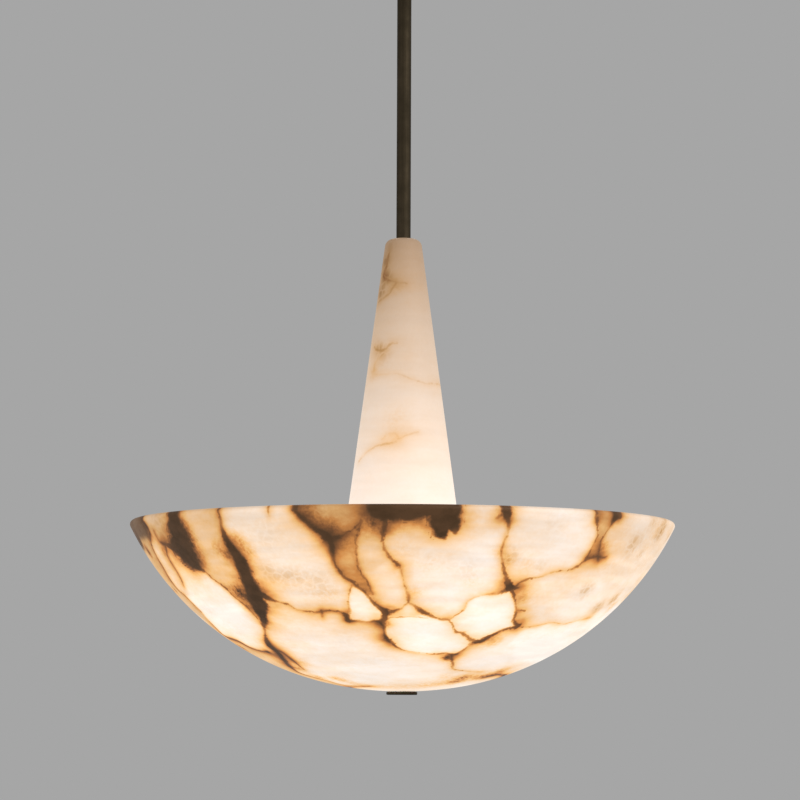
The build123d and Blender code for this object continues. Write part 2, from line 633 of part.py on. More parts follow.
def capsule(inset):
    """A domed bar of the globe's shape, taken in by a wall at its side and tip."""
    radius = LAMP_GLOBE_RADIUS - inset
    tip = GLOBE_START + LAMP_GLOBE_LENGTH - inset
    side = Polyline((radius, tip - radius), (radius, GLOBE_START), (0, GLOBE_START), (0, tip))
    dome = RadiusArc((0, tip), (radius, tip - radius), radius)
    return turned(make_face([*side.edges(), *dome.edges()]))


def bowl_lamp_places():
    """The backs of the holders round the cluster, each pointing outwards."""
    reach = CLUSTER_FLATS / 2 + ARM_LENGTH
    return [turn * radial(reach, CLUSTER_Z) for turn in around(BOWL_LAMP_COUNT, CLUSTER_TURN)]


def cone_lamp_places():
    """The backs of the holders on the carrier, each pointing up into the spire."""
    return [turn * Pos(CONE_LAMP_PLACE, 0, CARRIER_TOP) for turn in around(CONE_LAMP_COUNT)]


def tube_nuts():
    """The hexagon nuts along the threaded tube."""
    hexagon = RegularPolygon(NUT_FLATS / 2, 6, major_radius=False) - Circle(TUBE_HOLE_RADIUS)
    nut = extrude(hexagon, NUT_HEIGHT)
    bottoms = (
        CARRIER_BOTTOM - NUT_HEIGHT,
        CLUSTER_TOP + CLUSTER_COVER,
        CLUSTER_BOTTOM - NUT_HEIGHT,
        CLAMP_TOP,
    )
    return group(Pos(0, 0, bottom) * nut for bottom in bottoms)


def bowl_side_arc():
    """Centre, radius and inward lean of the upper arc, tangent to the lower arc and the rim's round."""
    lean = BOWL_BLEND_RADIUS / BOWL_BASE_ARC
    inward = Vector(-lean, sqrt(1 - lean**2))
    blend = Vector(0, BOWL_BASE_CENTRE) - inward * BOWL_BASE_ARC
    chord = Vector(BOWL_RADIUS - BOWL_RIM_ROUND, RIM_Z - BOWL_RIM_ROUND) - blend
    radius = (chord.dot(chord) - BOWL_RIM_ROUND**2) / (2 * (chord.dot(inward) - BOWL_RIM_ROUND))
    return blend + inward * radius, radius, inward


def bowl_wall_line(inset, start_radius):
    """One face of the bowl in radius and height, from a start near the axis up to the rim."""
    centre, side_radius, inward = bowl_side_arc()
    base_radius, radius = BOWL_BASE_ARC - inset, side_radius - inset
    start = Vector(start_radius, BOWL_BASE_CENTRE - sqrt(base_radius**2 - start_radius**2))
    blend = centre - inward * radius
    rim = Vector(centre.X + sqrt(radius**2 - (RIM_Z - centre.Y) ** 2), RIM_Z)
    return [RadiusArc(start, blend, -base_radius), RadiusArc(blend, rim, -radius)], start, rim


def alabaster_bowl():
    """The stone bowl, with a flat land inside for the clamp and a flat spot below for the finial."""
    outside, spot, outer_rim = bowl_wall_line(0, FINIAL_SPOT_RADIUS)
    inside, land, inner_rim = bowl_wall_line(BOWL_WALL, CLAMP_LAND_RADIUS)
    straight = [
        Line(outer_rim, inner_rim),
        Polyline(land, (BOWL_HOLE_RADIUS, CLAMP_LAND), (BOWL_HOLE_RADIUS, FINIAL_SPOT), spot),
    ]
    outline = make_face([edge for line in (*outside, *inside, *straight) for edge in line.edges()])
    outline = fillet(outline.vertices().group_by(Axis.Y)[-1], BOWL_RIM_ROUND)
    return turned(outline)


def clamp_gasket():
    """The soft disc between the bowl and its clamp."""
    return tube(CLAMP_RADIUS - GASKET_INSET, TUBE_HOLE_RADIUS, CLAMP_LAND, CLAMP_BOTTOM)


def clamp_plate():
    """The disc inside the bowl that steadies it against the finial."""
    plate = tube(CLAMP_RADIUS, TUBE_HOLE_RADIUS, CLAMP_BOTTOM, CLAMP_TOP)
    return fillet(plate.edges().group_by(Axis.Z)[-1].sort_by(SortBy.RADIUS)[-1], CLAMP_ROUND)


def finial_gasket():
    """The soft washer between the bowl and the finial."""
    outer = FINIAL_RADIUS - GASKET_INSET
    return tube(outer, FINIAL_BOSS_RADIUS + RUN_CLEARANCE, FINIAL_TOP, FINIAL_SPOT)


def finial():
    """The thin disc nut under the bowl, with a threaded boss that goes up through the stone."""
    disc = rod(FINIAL_RADIUS, FINIAL_BOTTOM, FINIAL_TOP)
    disc = fillet(disc.edges().group_by(Axis.Z)[0], FINIAL_ROUND)
    boss_top = CLAMP_LAND - FINIAL_GASKET
    boss = rod(FINIAL_BOSS_RADIUS, FINIAL_TOP, boss_top)
    return disc + boss - rod(TUBE_HOLE_RADIUS, FINIAL_TOP - FREE_CLEARANCE, boss_top)


def pieces():
    """Every piece by its name, in place."""
    made = {
        "ceiling_plate": ceiling_plate(),
        "swivel_housing": swivel_housing(),
        "housing_screws": housing_screws(),
        "stop_screw": stop_screw(),
        "canopy": canopy(),
        "canopy_screws": canopy_screws(),
        "terminal_block": terminal_block(),
        "terminal_screws": terminal_screws(),
        "earth_terminal": earth_terminal(),
        "swivel_ring": swivel_ring(),
        "trunnion_pins": trunnion_pins(),
        "stop_pin": stop_pin(),
        "swivel_ball": swivel_ball(),
        "stem": stem(),
        "stem_set_screw": stem_set_screw(),
        "stem_end_bush": stem_end_bush(),
        "threaded_tube": threaded_tube(),
        "tube_nuts": tube_nuts(),
        "alabaster_cone": alabaster_cone(),
        "cone_grommet": cone_grommet(),
        "cone_gasket": cone_gasket(),
        "cone_carrier": cone_carrier(),
        "cluster_body": cluster_body(),
        "cluster_cover": cluster_cover(),
        "clamp_plate": clamp_plate(),
        "clamp_gasket": clamp_gasket(),
        "alabaster_bowl": alabaster_bowl(),
        "finial_gasket": finial_gasket(),
        "finial": finial(),
    }
    arm, holder, base, globe = lamp_arm(), lampholder(), lamp_base(), lamp_globe()
    for number, place in enumerate(bowl_lamp_places(), 1):
        made[f"lamp_arm_{number}"] = place * Pos(0, 0, -ARM_LENGTH) * arm
    for stone, places in (("bowl", bowl_lamp_places()), ("cone", cone_lamp_places())):
        for number, place in enumerate(places, 1):
            made[f"{stone}_lampholder_{number}"] = place * holder
            made[f"{stone}_lamp_base_{number}"] = place * base
            made[f"{stone}_lamp_globe_{number}"] = place * globe
    return made


def main():
    os.makedirs("parts", exist_ok=True)
    for name, piece in pieces().items():
        export_step(piece, f"parts/{name}.step")


main()
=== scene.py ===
"""Looks of the alabaster pendant light: veined lit stone, dark bronze, and the fittings inside."""

import json
import math
from itertools import groupby

import bpy
import numpy as np
from mathutils import Matrix, Vector
from mathutils.bvhtree import BVHTree


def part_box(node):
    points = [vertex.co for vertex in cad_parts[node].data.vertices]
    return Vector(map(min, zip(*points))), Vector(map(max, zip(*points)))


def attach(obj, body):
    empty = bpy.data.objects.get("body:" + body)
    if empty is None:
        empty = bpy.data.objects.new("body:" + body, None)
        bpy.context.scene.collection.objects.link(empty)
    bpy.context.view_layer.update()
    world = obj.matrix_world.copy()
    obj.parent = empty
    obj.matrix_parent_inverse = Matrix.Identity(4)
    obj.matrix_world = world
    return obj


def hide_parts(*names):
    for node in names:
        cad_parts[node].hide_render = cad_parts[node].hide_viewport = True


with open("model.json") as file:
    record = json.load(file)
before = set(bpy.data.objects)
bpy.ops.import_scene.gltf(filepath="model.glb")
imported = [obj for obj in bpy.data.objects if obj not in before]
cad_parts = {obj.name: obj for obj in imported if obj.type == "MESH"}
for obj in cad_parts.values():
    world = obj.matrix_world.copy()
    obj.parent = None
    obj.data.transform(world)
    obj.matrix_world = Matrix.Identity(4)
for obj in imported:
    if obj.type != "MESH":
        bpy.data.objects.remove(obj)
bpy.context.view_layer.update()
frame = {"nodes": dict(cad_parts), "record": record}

# Sizes in metres, the same as in the solids
BOWL_RADIUS = 0.300
BOWL_DEPTH = 0.185
BOWL_WALL = 0.013
BOWL_BASE_ARC = 0.387
BOWL_BLEND_RADIUS = 0.059
BOWL_RIM_ROUND = 0.004
BOWL_HOLE_RADIUS = 0.009
CLAMP_LAND_RADIUS = 0.050
FINIAL_SPOT_RADIUS = 0.018
CONE_TOP_RADIUS = 0.0196
CONE_BASE_RADIUS = 0.0658
CONE_TOP_ROUND = 0.009
CONE_BASE_ROUND = 0.0015
CONE_HOLE_RADIUS = 0.0097
CONE_CROWN = 0.030
CAVITY_TOP_RADIUS = 0.0125
CAVITY_BASE_RADIUS = 0.0548
TUBE_RADIUS = 0.005
TUBE_BORE_RADIUS = 0.00375
GROMMET_BORE_RADIUS = 0.00805
GROMMET_SLEEVE_RADIUS = 0.00965
RIM_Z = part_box("alabaster_bowl")[1].z
CONE_BASE, CONE_TOP = (corner.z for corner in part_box("alabaster_cone"))
CONE_CEILING = CONE_TOP - CONE_CROWN

# Finer sizes in metres, which the solids leave out
THREAD_PITCH = 0.001
THREAD_DEPTH = 0.00055
TUBE_END_ROUND = 0.0002
SEAL_CLEARANCE = 0.00004
SEAL_ROUND = 0.0008
THIN_SEAL_ROUND = 0.0004
GROMMET_ROUND = 0.0005
GROMMET_BORE_ROUND = 0.0003

# Points along the outlines, columns round the axis, and the angles from which edges stay sharp
BOWL_BASE_POINTS, BOWL_SIDE_POINTS = 16, 116
RIM_POINTS = 6
INNER_SIDE_POINTS, INNER_BASE_POINTS = 44, 4
LAND_POINTS, HOLE_POINTS, SPOT_POINTS = 4, 3, 3
CONE_SIDE_POINTS, CAVITY_POINTS = 130, 50
CONE_ROUND_POINTS, CROWN_POINTS, BORE_POINTS, FOOT_POINTS = 10, 2, 6, 4
SEAL_ROUND_POINTS, TUBE_ROUND_POINTS = 5, 3
BOWL_COLUMNS, CONE_COLUMNS = (330, 170), (120, 80)
SEAL_COLUMNS, GROMMET_COLUMNS, TUBE_COLUMNS = 96, 72, 40
SHARP_ANGLE, HEAD_SHARP_ANGLE = math.radians(40), math.radians(35)

# The canopy's screws: how many, the turn of the first, and half the slot's width in metres; points round half
# a head and round the slot's floor, with shares of the head's radius and height
SCREW_COUNT = 3
SCREW_TURN = math.radians(30)
SLOT_HALF = 0.00045
HEAD_POINTS, HEAD_FLOOR_POINTS = 14, 32
HEAD_LEVELS = ((1.0, 0.0), (1.0, 0.55), (0.94, 0.85), (0.8, 1.0))
HEAD_FLOOR_SHARE, HEAD_FLOOR_LEVEL = 0.98, 0.45

# The photograph's camera: focal length in pixels of an 800 by 800 picture, sensor in millimetres, place in
# metres, angles in degrees, and metres to a pixel at the pendant
PICTURE_SIZE = 800
FOCAL_PIXELS = 2714.6
SENSOR_WIDTH = 36.0
CAMERA_PLACE = Vector((0.0, -3.0, RIM_Z - 0.19742))
CAMERA_PITCH = 6.3654
CAMERA_YAW = 0.0612
CAMERA_ROLL = 0.22
PIXEL = 0.00112
CAMERA_TURN = (
    Matrix.Rotation(math.radians(CAMERA_YAW), 3, "Z")
    @ Matrix.Rotation(math.radians(90 + CAMERA_PITCH), 3, "X")
    @ Matrix.Rotation(math.radians(CAMERA_ROLL), 3, "Z")
)

# The bowl's veins as seen in the photograph: pixel across, pixel down, width in pixels
BOWL_VEINS = (
    ((217.3, 508.6, 1.5), (220.4, 518.8, 2), (223.6, 533, 4), (228.5, 543.3, 8), (235.5, 553.5, 10),
     (241.8, 563.7, 12), (245.9, 575.9, 12), (252, 588.2, 17), (257.1, 600.4, 18), (260.2, 610.6, 12),
     (263.3, 619.8, 8), (264.3, 629, 2), (266.3, 639.2, 3), (270.4, 646.3, 7), (277.6, 652.4, 6),
     (284.7, 660.5, 4), (290.5, 667, 3.4), (299, 672.5, 2), (314.3, 677.5, 1.4), (328.6, 681, 1.2),
     (344.9, 685.1, 0.8), (369.4, 686.1, 0.8)),
    ((261.2, 594.3, 8), (269.4, 598.4, 5), (277.6, 601.4, 2), (287.8, 604.5, 1.6), (295.9, 609.6, 0.9),
     (306.1, 611.6, 0.9), (316.3, 612.7, 1.2), (330.6, 610.6, 1.6), (340.8, 612.7, 2), (348, 615.7, 3.6),
     (348, 620.8, 3), (357.1, 620.8, 1.5), (367.3, 621.8, 1.5), (375.5, 620.8, 2), (381.6, 621.8, 4)),
    ((276, 650, 3), (283.5, 653, 2.2), (291.5, 659.5, 2.6), (298.5, 665, 1.6), (304.5, 670, 0.8)),
    ((322, 611.5, 2.4), (322.6, 617, 1.2)),
    ((352, 583, 1), (350, 592, 1), (348.6, 603, 1.2), (350, 613, 1.6)),
    ((200, 611, 0.8), (213, 625, 1), (225, 636, 2), (238, 641, 2.6), (249, 647, 2.2), (260.5, 651, 1.8),
     (268, 652, 3)),
    ((173, 514.7, 12), (176, 526.9, 19), (179, 539.2, 27), (182, 549, 30), (187, 556, 24), (194, 563, 12),
     (200.5, 568.5, 4), (206.1, 572.9, 1.6), (214.3, 580, 1.6), (224.5, 587.1, 2), (230.6, 593.3, 1.6),
     (238.8, 600.4, 1.6), (246.9, 606.5, 1.6), (252, 612.7, 1.2), (261.2, 622.9, 1)),
    ((165, 544, 2), (170, 546.5, 6), (177, 549, 10)),
    ((141.8, 518.8, 3), (145.9, 525.9, 3.3), (150, 533.1, 2.4), (151, 543.3, 1.6), (156.1, 555.5, 1.6),
     (163.3, 567.8, 1.6), (170.4, 580, 1.6), (178.6, 590.2, 2), (185.7, 596.3, 2), (193, 603.5, 1.8),
     (201, 611.5, 1.4)),
    ((154.1, 531, 1.2), (159.2, 541.2, 1.5), (165.3, 545.3, 2.4), (167.3, 555.5, 1.6), (174.5, 567.8, 1.4),
     (180.6, 578, 1.2), (183.7, 586.1, 1)),
    ((292.9, 508.6, 3), (299, 514.5, 3.6), (306, 520.5, 3), (313, 527, 3.2), (321.5, 533, 5.4),
     (328, 538, 7.6), (331.5, 545, 4.8), (332, 552, 3), (333, 559.5, 2), (335.5, 566, 2),
     (340.5, 572.5, 2.4), (346, 578.5, 2.6), (351, 582, 2.4), (360.2, 588.2, 2.4), (367.3, 594.3, 2.4),
     (373.5, 602.4, 3.6), (380.6, 608.6, 5.2), (385.7, 612.7, 7), (382.7, 620.8, 5), (384.7, 630, 1.8),
     (387.8, 639.2, 4), (393.9, 643.3, 2)),
    ((331, 540, 4.4), (341, 536.5, 2), (350, 532, 1), (357, 526, 1.2), (361, 520, 1.2)),
    ((268, 508, 2), (269, 516, 1)),
    ((361.2, 520.8, 1.2), (356.1, 539.2, 1.2), (356.1, 555.5, 1.2), (359.2, 569.8, 1.2), (367.3, 582, 1.2),
     (373.5, 594.3, 1.2)),
    ((372, 508, 8), (379, 510, 17), (388, 511, 20), (400, 510, 14), (412, 510, 17), (424, 508, 13),
     (434, 508, 14)),
    ((440, 509, 15), (439, 520, 15), (441, 530, 14), (443, 536, 7)),
    ((451, 508, 17), (451, 518, 16), (454, 526, 9), (456, 532, 4)),
    ((384.7, 520, 6), (384, 530, 3.4), (382.7, 541.2, 1.6), (385.7, 551.4, 1.8), (391.8, 559.6, 2),
     (396.9, 564.7, 2.6), (400.4, 566.7, 1.2), (404.1, 582, 0.5), (409, 598.4, 2.6), (406.1, 604.5, 1),
     (395.9, 610.6, 2), (385.7, 612.7, 5)),
    ((505.5, 507.6, 7), (506.5, 514.7, 7), (508.6, 520.8, 3), (507.6, 531, 1.4), (504.5, 541.2, 1.4),
     (501.4, 551.4, 1.8), (502.4, 561.6, 2), (504.5, 571.8, 3), (507, 580, 4), (510, 587, 8),
     (516, 588, 4)),
    ((497.3, 517.8, 2), (502.4, 514.7, 3)),
    ((516.7, 586.1, 3), (524.9, 580, 1.2), (535.1, 578, 0.9), (545.3, 574.9, 0.9), (557.6, 570.8, 0.7),
     (569.8, 569.8, 1), (578, 565.7, 1.6), (584.1, 560.6, 1.8), (589, 557.6, 2), (596.7, 556.8, 1.8),
     (601, 557.6, 2), (606.5, 557.3, 1.4)),
    ((587, 557.5, 2.2), (590.5, 551, 1.6), (594.5, 543.5, 1.2), (597.5, 536, 1.2), (597.3, 527, 1.4),
     (597, 520.8, 3), (596.3, 514.7, 1.6)),
    ((597, 557, 1.6), (599, 550, 1.2), (600.6, 542, 1.6), (604.5, 535.1, 1.3), (610.6, 525.5, 1.4),
     (614.5, 518.5, 5), (617, 516.3, 6), (620.5, 517, 3)),
    ((598, 557, 2.2), (598.5, 562, 1)),
    ((509.6, 588.2, 7), (502.4, 592.2, 2.6), (494.3, 594.3, 2), (482, 595.3, 1), (467.8, 601.4, 1),
     (464.7, 608.6, 0.8), (455.5, 615.7, 1), (448.4, 620.8, 1.6)),
    ((511.5, 589, 5), (513, 595, 3), (515.7, 602.4, 1.6), (515.7, 612.7, 1.6), (513.7, 620.8, 3),
     (517.8, 625.9, 4)),
    ((516, 611, 1.2), (520.8, 610.6, 1.2), (524.9, 610.6, 1)),
    ((517.8, 625.9, 2.6), (524.9, 626.9, 0.8), (537.1, 625.9, 0.7), (549.4, 622.9, 0.5),
     (563.7, 623.9, 0.5), (575.9, 620.8, 0.5), (590.2, 617.8, 0.5)),
    ((517.8, 625.9, 5), (510.6, 628, 3), (500.4, 631, 3), (490.2, 636.1, 4), (480, 641.2, 5.6),
     (471.8, 640.2, 4), (463.7, 634.1, 3), (455.5, 632, 2), (452.4, 625.9, 1.2), (448.4, 620.8, 2),
     (437.1, 618.8, 1.6), (424.9, 613.7, 4), (419.8, 610.6, 4), (410.6, 603.5, 1.6)),
    ((386, 619, 3), (394, 617.5, 1), (404, 617, 0.8), (415, 617, 0.8), (428, 618.5, 0.8)),
    ((389.2, 639.2, 4), (400.4, 648.4, 1.2), (410.6, 651.4, 0.8), (424.9, 653.5, 0.8), (438, 653.5, 2),
     (446, 653, 1.6), (454, 654, 3.4), (458, 653.5, 2)),
    ((452.4, 654.5, 2), (453, 661, 2.4), (453.5, 668.8, 1.8), (465.7, 670.8, 0.8), (482, 671.8, 0.8)),
    ((471.8, 640.2, 4), (469.8, 643.3, 1.2), (463.7, 649.4, 1), (455.5, 653.5, 1.4)),
    ((488, 676.5, 2), (495, 675, 3), (499, 674.5, 1.6)),
)

# Veins of the bowl's underside, out of the photograph's sight: millimetres across, millimetres towards the
# back, width in pixels
UNDER_VEINS = (
    ((105, -47, 2), (112, -20, 3), (104, 8, 5), (96, 40, 3), (87, 74, 2)),
    ((-34, -54, 1), (-52, -28, 1.6), (-58, 0, 3), (-50, 24, 2), (-48, 42, 1.2)),
    ((250, 2, 2), (254, 14, 6), (256, 48, 4), (238, 84, 2), (205, 118, 1.2), (168, 142, 1)),
    ((254, 14, 5), (268, 32, 4), (282, 52, 5), (290, 62, 7)),
    ((104, 8, 2), (130, 18, 1.2), (160, 16, 1), (190, 12, 1), (222, 18, 1.4), (254, 14, 2)),
    ((-58, 0, 2), (-84, 8, 1.2), (-112, 4, 1.6), (-140, 14, 2), (-160, 41, 1.8)),
)

# Brown and grey places on the bowl: pixel across, pixel down, reach in pixels, strength
BOWL_BROWN = (
    (240, 593, 10, 0.8), (174, 518, 11, 0.5), (182, 530, 13, 0.6), (188, 545, 13, 0.65),
    (194, 559, 12, 0.65), (306, 513, 9, 0.3), (317, 522, 10, 0.18), (331, 529, 10, 0.36),
    (344, 540, 9, 0.28), (446.5, 658, 5, 0.8), (218, 548, 9, 0.3), (228, 556, 7, 0.4), (237, 540, 9, 0.35),
    (248, 552, 9, 0.3), (509, 560, 8, 0.35), (296, 668, 10, 0.35), (400, 521, 10, 0.2), (372, 526, 10, 0.2),
    (243, 648, 8, 0.3), (386, 624, 6, 0.4), (494, 641, 10, 0.35), (523, 598, 9, 0.28), (418, 520, 6, 0.15),
    (455, 681, 13, 0.25), (478, 677, 11, 0.45), (501, 671, 10, 0.4), (655, 533, 14, 0.12),
    (603, 548, 7, 0.3), (140, 541, 7, 0.5), (172, 559, 9, 0.12), (181, 564, 9, 0.1), (192, 568, 8, 0.2),
    # The faint wide brown spots from 352 to 456 across, along the bowl's lowest part round the finial, are
    # painted shade
    (148, 551, 7, 0.7), (175, 590, 5, 0.5), (338, 679, 10, 0.45), (352, 683, 10, 0.18),
    (370, 686, 12, 0.14), (390, 687, 16, 0.12), (408, 687, 16, 0.14), (424, 686, 16, 0.16),
    (440, 684, 16, 0.18), (456, 682, 9, 0.28), (445, 676, 8, 0.16), (464, 677, 9, 0.5), (486, 677, 8, 0.45),
    (471, 579, 10, 0.14), (429, 565, 10, 0.13), (415, 593, 8, 0.2), (303, 579, 12, 0.12),
    (288, 580, 10, 0.1), (317, 593, 10, 0.14), (611, 607, 9, 0.26), (317, 677, 10, 0.45),
    (303, 663, 8, 0.22), (275, 579, 9, 0.14), (331, 593, 9, 0.15), (247, 607, 6, 0.35), (374, 522, 7, 0.45),
    (527, 565, 8, 0.16), (499, 551, 7, 0.2), (163, 551, 5, 0.3), (401, 551, 9, 0.13),
)
BOWL_GREY = (
    (141, 533, 8, 0.3), (158, 523, 12, 0.4), (312, 515, 13, 0.35), (268, 572, 10, 0.45),
    (290, 578, 12, 0.5), (318, 582, 13, 0.4), (468, 568, 10, 0.22), (428, 558, 9, 0.16), (510, 553, 8, 0.3),
    (555, 526, 10, 0.25), (515, 557, 7, 0.3), (540, 567, 8, 0.25), (585, 591, 9, 0.7), (597, 608, 9, 0.8),
    (614, 599, 7, 1.0), (634, 545, 12, 0.7), (641, 554, 7, 0.5), (661, 531, 10, 1.0), (668, 537, 6, 0.5),
    (653, 523, 8, 0.35), (448, 565, 10, 0.16), (210, 612, 6, 0.25), (345, 640, 12, 0.15),
    (265, 535, 16, 0.2), (490, 675, 8, 0.35),
)

# Where the stone's tone steps with no vein: pixel across, pixel down, width in pixels
BOWL_STEPS = (((246, 553, 1), (258, 548, 1), (280, 545, 1), (305, 544, 1), (323, 544, 1)),)

# The bowl's crystal cells: pixel across, pixel down, density, glow
BOWL_CELLS = (
    (131, 520, 0.5, 0.03), (158, 567, 0.36, 0.74), (156, 527, 0, 0.72), (203, 540, 0.25, 0.91),
    (160, 552, 0.15, 0.93), (220, 610, 0.0, 1.05), (258, 656, 0.3, 0.86), (262, 525, 0.09, 1.0),
    (300, 568, 0.05, 0.98), (325, 518, 0.33, 0.76), (346, 555, 0.37, 0.87), (372, 545, 0.21, 0.91),
    (390, 585, 0.06, 1.02), (404, 535, 0.11, 0.97), (362, 602, 0.0, 1.1), (330, 635, 0.08, 1.0),
    (350, 668, 0.06, 1.0), (450, 560, 0.0, 0.98), (450, 600, 0.03, 1.02), (550, 540, 0.05, 1.01),
    (606, 525, 0.3, 0.82), (640, 545, 0.16, 0.96), (560, 600, 0.11, 0.98), (484, 614, 0.0, 1.1),
    (428, 634, -0.04, 1.12), (540, 645, 0.0, 1.05), (430, 672, 0.08, 1.0), (490, 664, 0.06, 1.0),
    (411, 615, 0.03, 1.06),
)

# The spire's veins and places, in the same way
CONE_VEINS = (
    ((389.3, 252.5, 1.4), (386.4, 265.9, 1.8), (383.6, 276.4, 2.4), (389.3, 280.3, 2.2), (396, 282.2, 1.6),
     (392.2, 287.9, 1.4), (387.4, 294.6, 1.4), (378.8, 302.3, 1)),
    ((396, 282.2, 1.2), (406.5, 284, 0.8)),
    ((374.4, 347.2, 1.4), (376.9, 350.1, 2), (385.5, 349.1, 2), (391.2, 343.4, 1.6), (396, 342.4, 1)),
    ((383.6, 353.9, 0.8), (375.9, 362.5, 0.8), (374, 371.1, 0.8)),
    ((374, 374, 0.7), (385.5, 374.6, 0.7), (396, 373, 0.7), (406.5, 376.9, 0.7), (416.1, 380.7, 0.7),
     (425.7, 383.6, 0.7), (440, 384.5, 0.6)),
    ((358.7, 462, 0.8), (363.5, 455.3, 1), (371.1, 448.6, 1.3), (377.8, 445.8, 1.4), (387.4, 443.8, 1.4),
     (396, 441.5, 1.2)),
    ((399, 438.5, 1), (394, 433.5, 0.6), (388, 434.5, 0.5), (382, 439, 0.5)),
    ((397.9, 439, 1.2), (406.5, 435.2, 0.9), (418, 432.4, 0.7)),
)
CONE_BROWN = ((395, 419, 12, 0.1), (390, 440, 8, 0.1), (396, 287, 8, 0.12), (374, 372, 7, 0.1))
CONE_GREY = (
    (385, 262, 7, 0.6), (386, 277, 7, 0.9), (381, 293, 8, 0.9), (379, 348, 6, 0.6), (384, 356, 9, 0.3),
    (391, 245, 8, 0.3),
)

# Where a traced vein still shows its halo, the layers that veins are shared out among, the least width in
# pixels, how far below an edge a pixel may fall, and how the unseen side repeats the front: mirrored and
# turned by an angle in degrees, with other tones, from an edge on
VEIN_REACH = 0.045
VEIN_LAYERS = 6
THINNEST_VEIN = 0.5
EDGE_PIXELS = 10
BACK_TURN = 16.0
BACK_EDGE = 0.004
BACK_SEED = 5
BACK_DENSITY, BACK_GLOW = (0.4, 1.4), (0.9, 1.05)

# A vein's halo: its least strength and the half width that would add 1, its reach near and far in metres,
# more near reach for a wider vein, and the far share
HALO_LEAST, HALO_HALF = 0.4, 0.003
HALO_NEAR, HALO_FAR = 0.0042, 0.015
HALO_WIDENING = 0.9
HALO_FAR_SHARE = 0.2

# Gaps between which the way to a vein turns outward, how far above the rim the bowl's outward ways begin,
# how veins slow down the growth of cells, and how often the cells' steps are softened
WAY_FADE = (0.003, 0.008)
BOWL_CENTRE_UP = 0.14
VEIN_DRAG, VEIN_DRAG_REACH = 40, 0.0015
UNREACHED = 1e9
SOFTENINGS = 3

# How brightly the stone is lit: at the bowl's rim and more below, the share left inside the bowl, both with
# the shares of its depth that they change between, at the spire's crown and more at its foot; and how much
# denser and calmer the spire is, its density rising towards its crown as painted shade
BOWL_GLOW, BOWL_GLOW_RISE, BOWL_GLOW_FADE = 0.66, 0.14, (0, 0.4)
INSIDE_SHARE, INSIDE_FADE = 0.7, (0.002, 0.02)
CONE_GLOW, CONE_GLOW_RISE, CONE_GLOW_POWER = 0.115, 0.72, 0.88
CONE_DENSITY, CONE_PAINTED_SHADE_RISE = -0.02, 0.28
CONE_CONTRAST = 0.38

# The studio: its floor, its greys, and its lights by place, size and power
FLOOR_Z = -5.0
FLOOR_RADIUS = 6.0
FLOOR_SIDES = 96
BACKDROP_GREY = 166
AMBIENT_STRENGTH = 0.42
LIGHT_AIM = Vector((0, 0, -0.62))
LIGHTS = {
    "key": ((1.75, -1.45, 0.35), 2.4, 34),
    "fill": ((-1.9, -1.5, -0.8), 1.4, 12),
    "back": ((0.0, 1.7, 1.6), 1.2, 8),
}


def linear(red, green, blue):
    """An 8-bit picture colour as the linear colour that renders the same."""
    parts = (value / 255 for value in (red, green, blue))
    return (*(part / 12.92 if part <= 0.04045 else ((part + 0.055) / 1.055) ** 2.4 for part in parts), 1.0)


# Outlines in radius and height

def arc(centre, radius, start, end, count):
    """Points of an arc from one angle to another, both included."""
    angles = np.linspace(start, end, count)
    return [np.add(centre, (radius * math.cos(angle), radius * math.sin(angle))) for angle in angles]


def run(start, end, count):
    """Points of a straight run, its end included and its start left out."""
    return [np.add(start, np.subtract(end, start) * share) for share in np.linspace(0, 1, count + 1)[1:]]


def angle_of(way):
    """The angle of a direction."""
    return math.atan2(way[1], way[0])


def rounded_loop(corners, rounds, steps):
    """A closed outline whose corners are rounded, each by its own radius."""
    corners = [np.array(corner) for corner in corners]
    made = []
    for index, (corner, radius) in enumerate(zip(corners, rounds)):
        if radius == 0:
            made.append(corner)
            continue
        before = corners[index - 1] - corner
        after = corners[(index + 1) % len(corners)] - corner
        before /= np.linalg.norm(before)
        after /= np.linalg.norm(after)
        half = math.acos(before @ after) / 2
        middle = before + after
        centre = corner + middle / np.linalg.norm(middle) * radius / math.sin(half)
        reach = radius / math.tan(half)
        for share in np.linspace(0, 1, steps):
            way = corner + reach * (before * (1 - share) + after * share) - centre
            made.append(centre + way / np.linalg.norm(way) * radius)
    return made


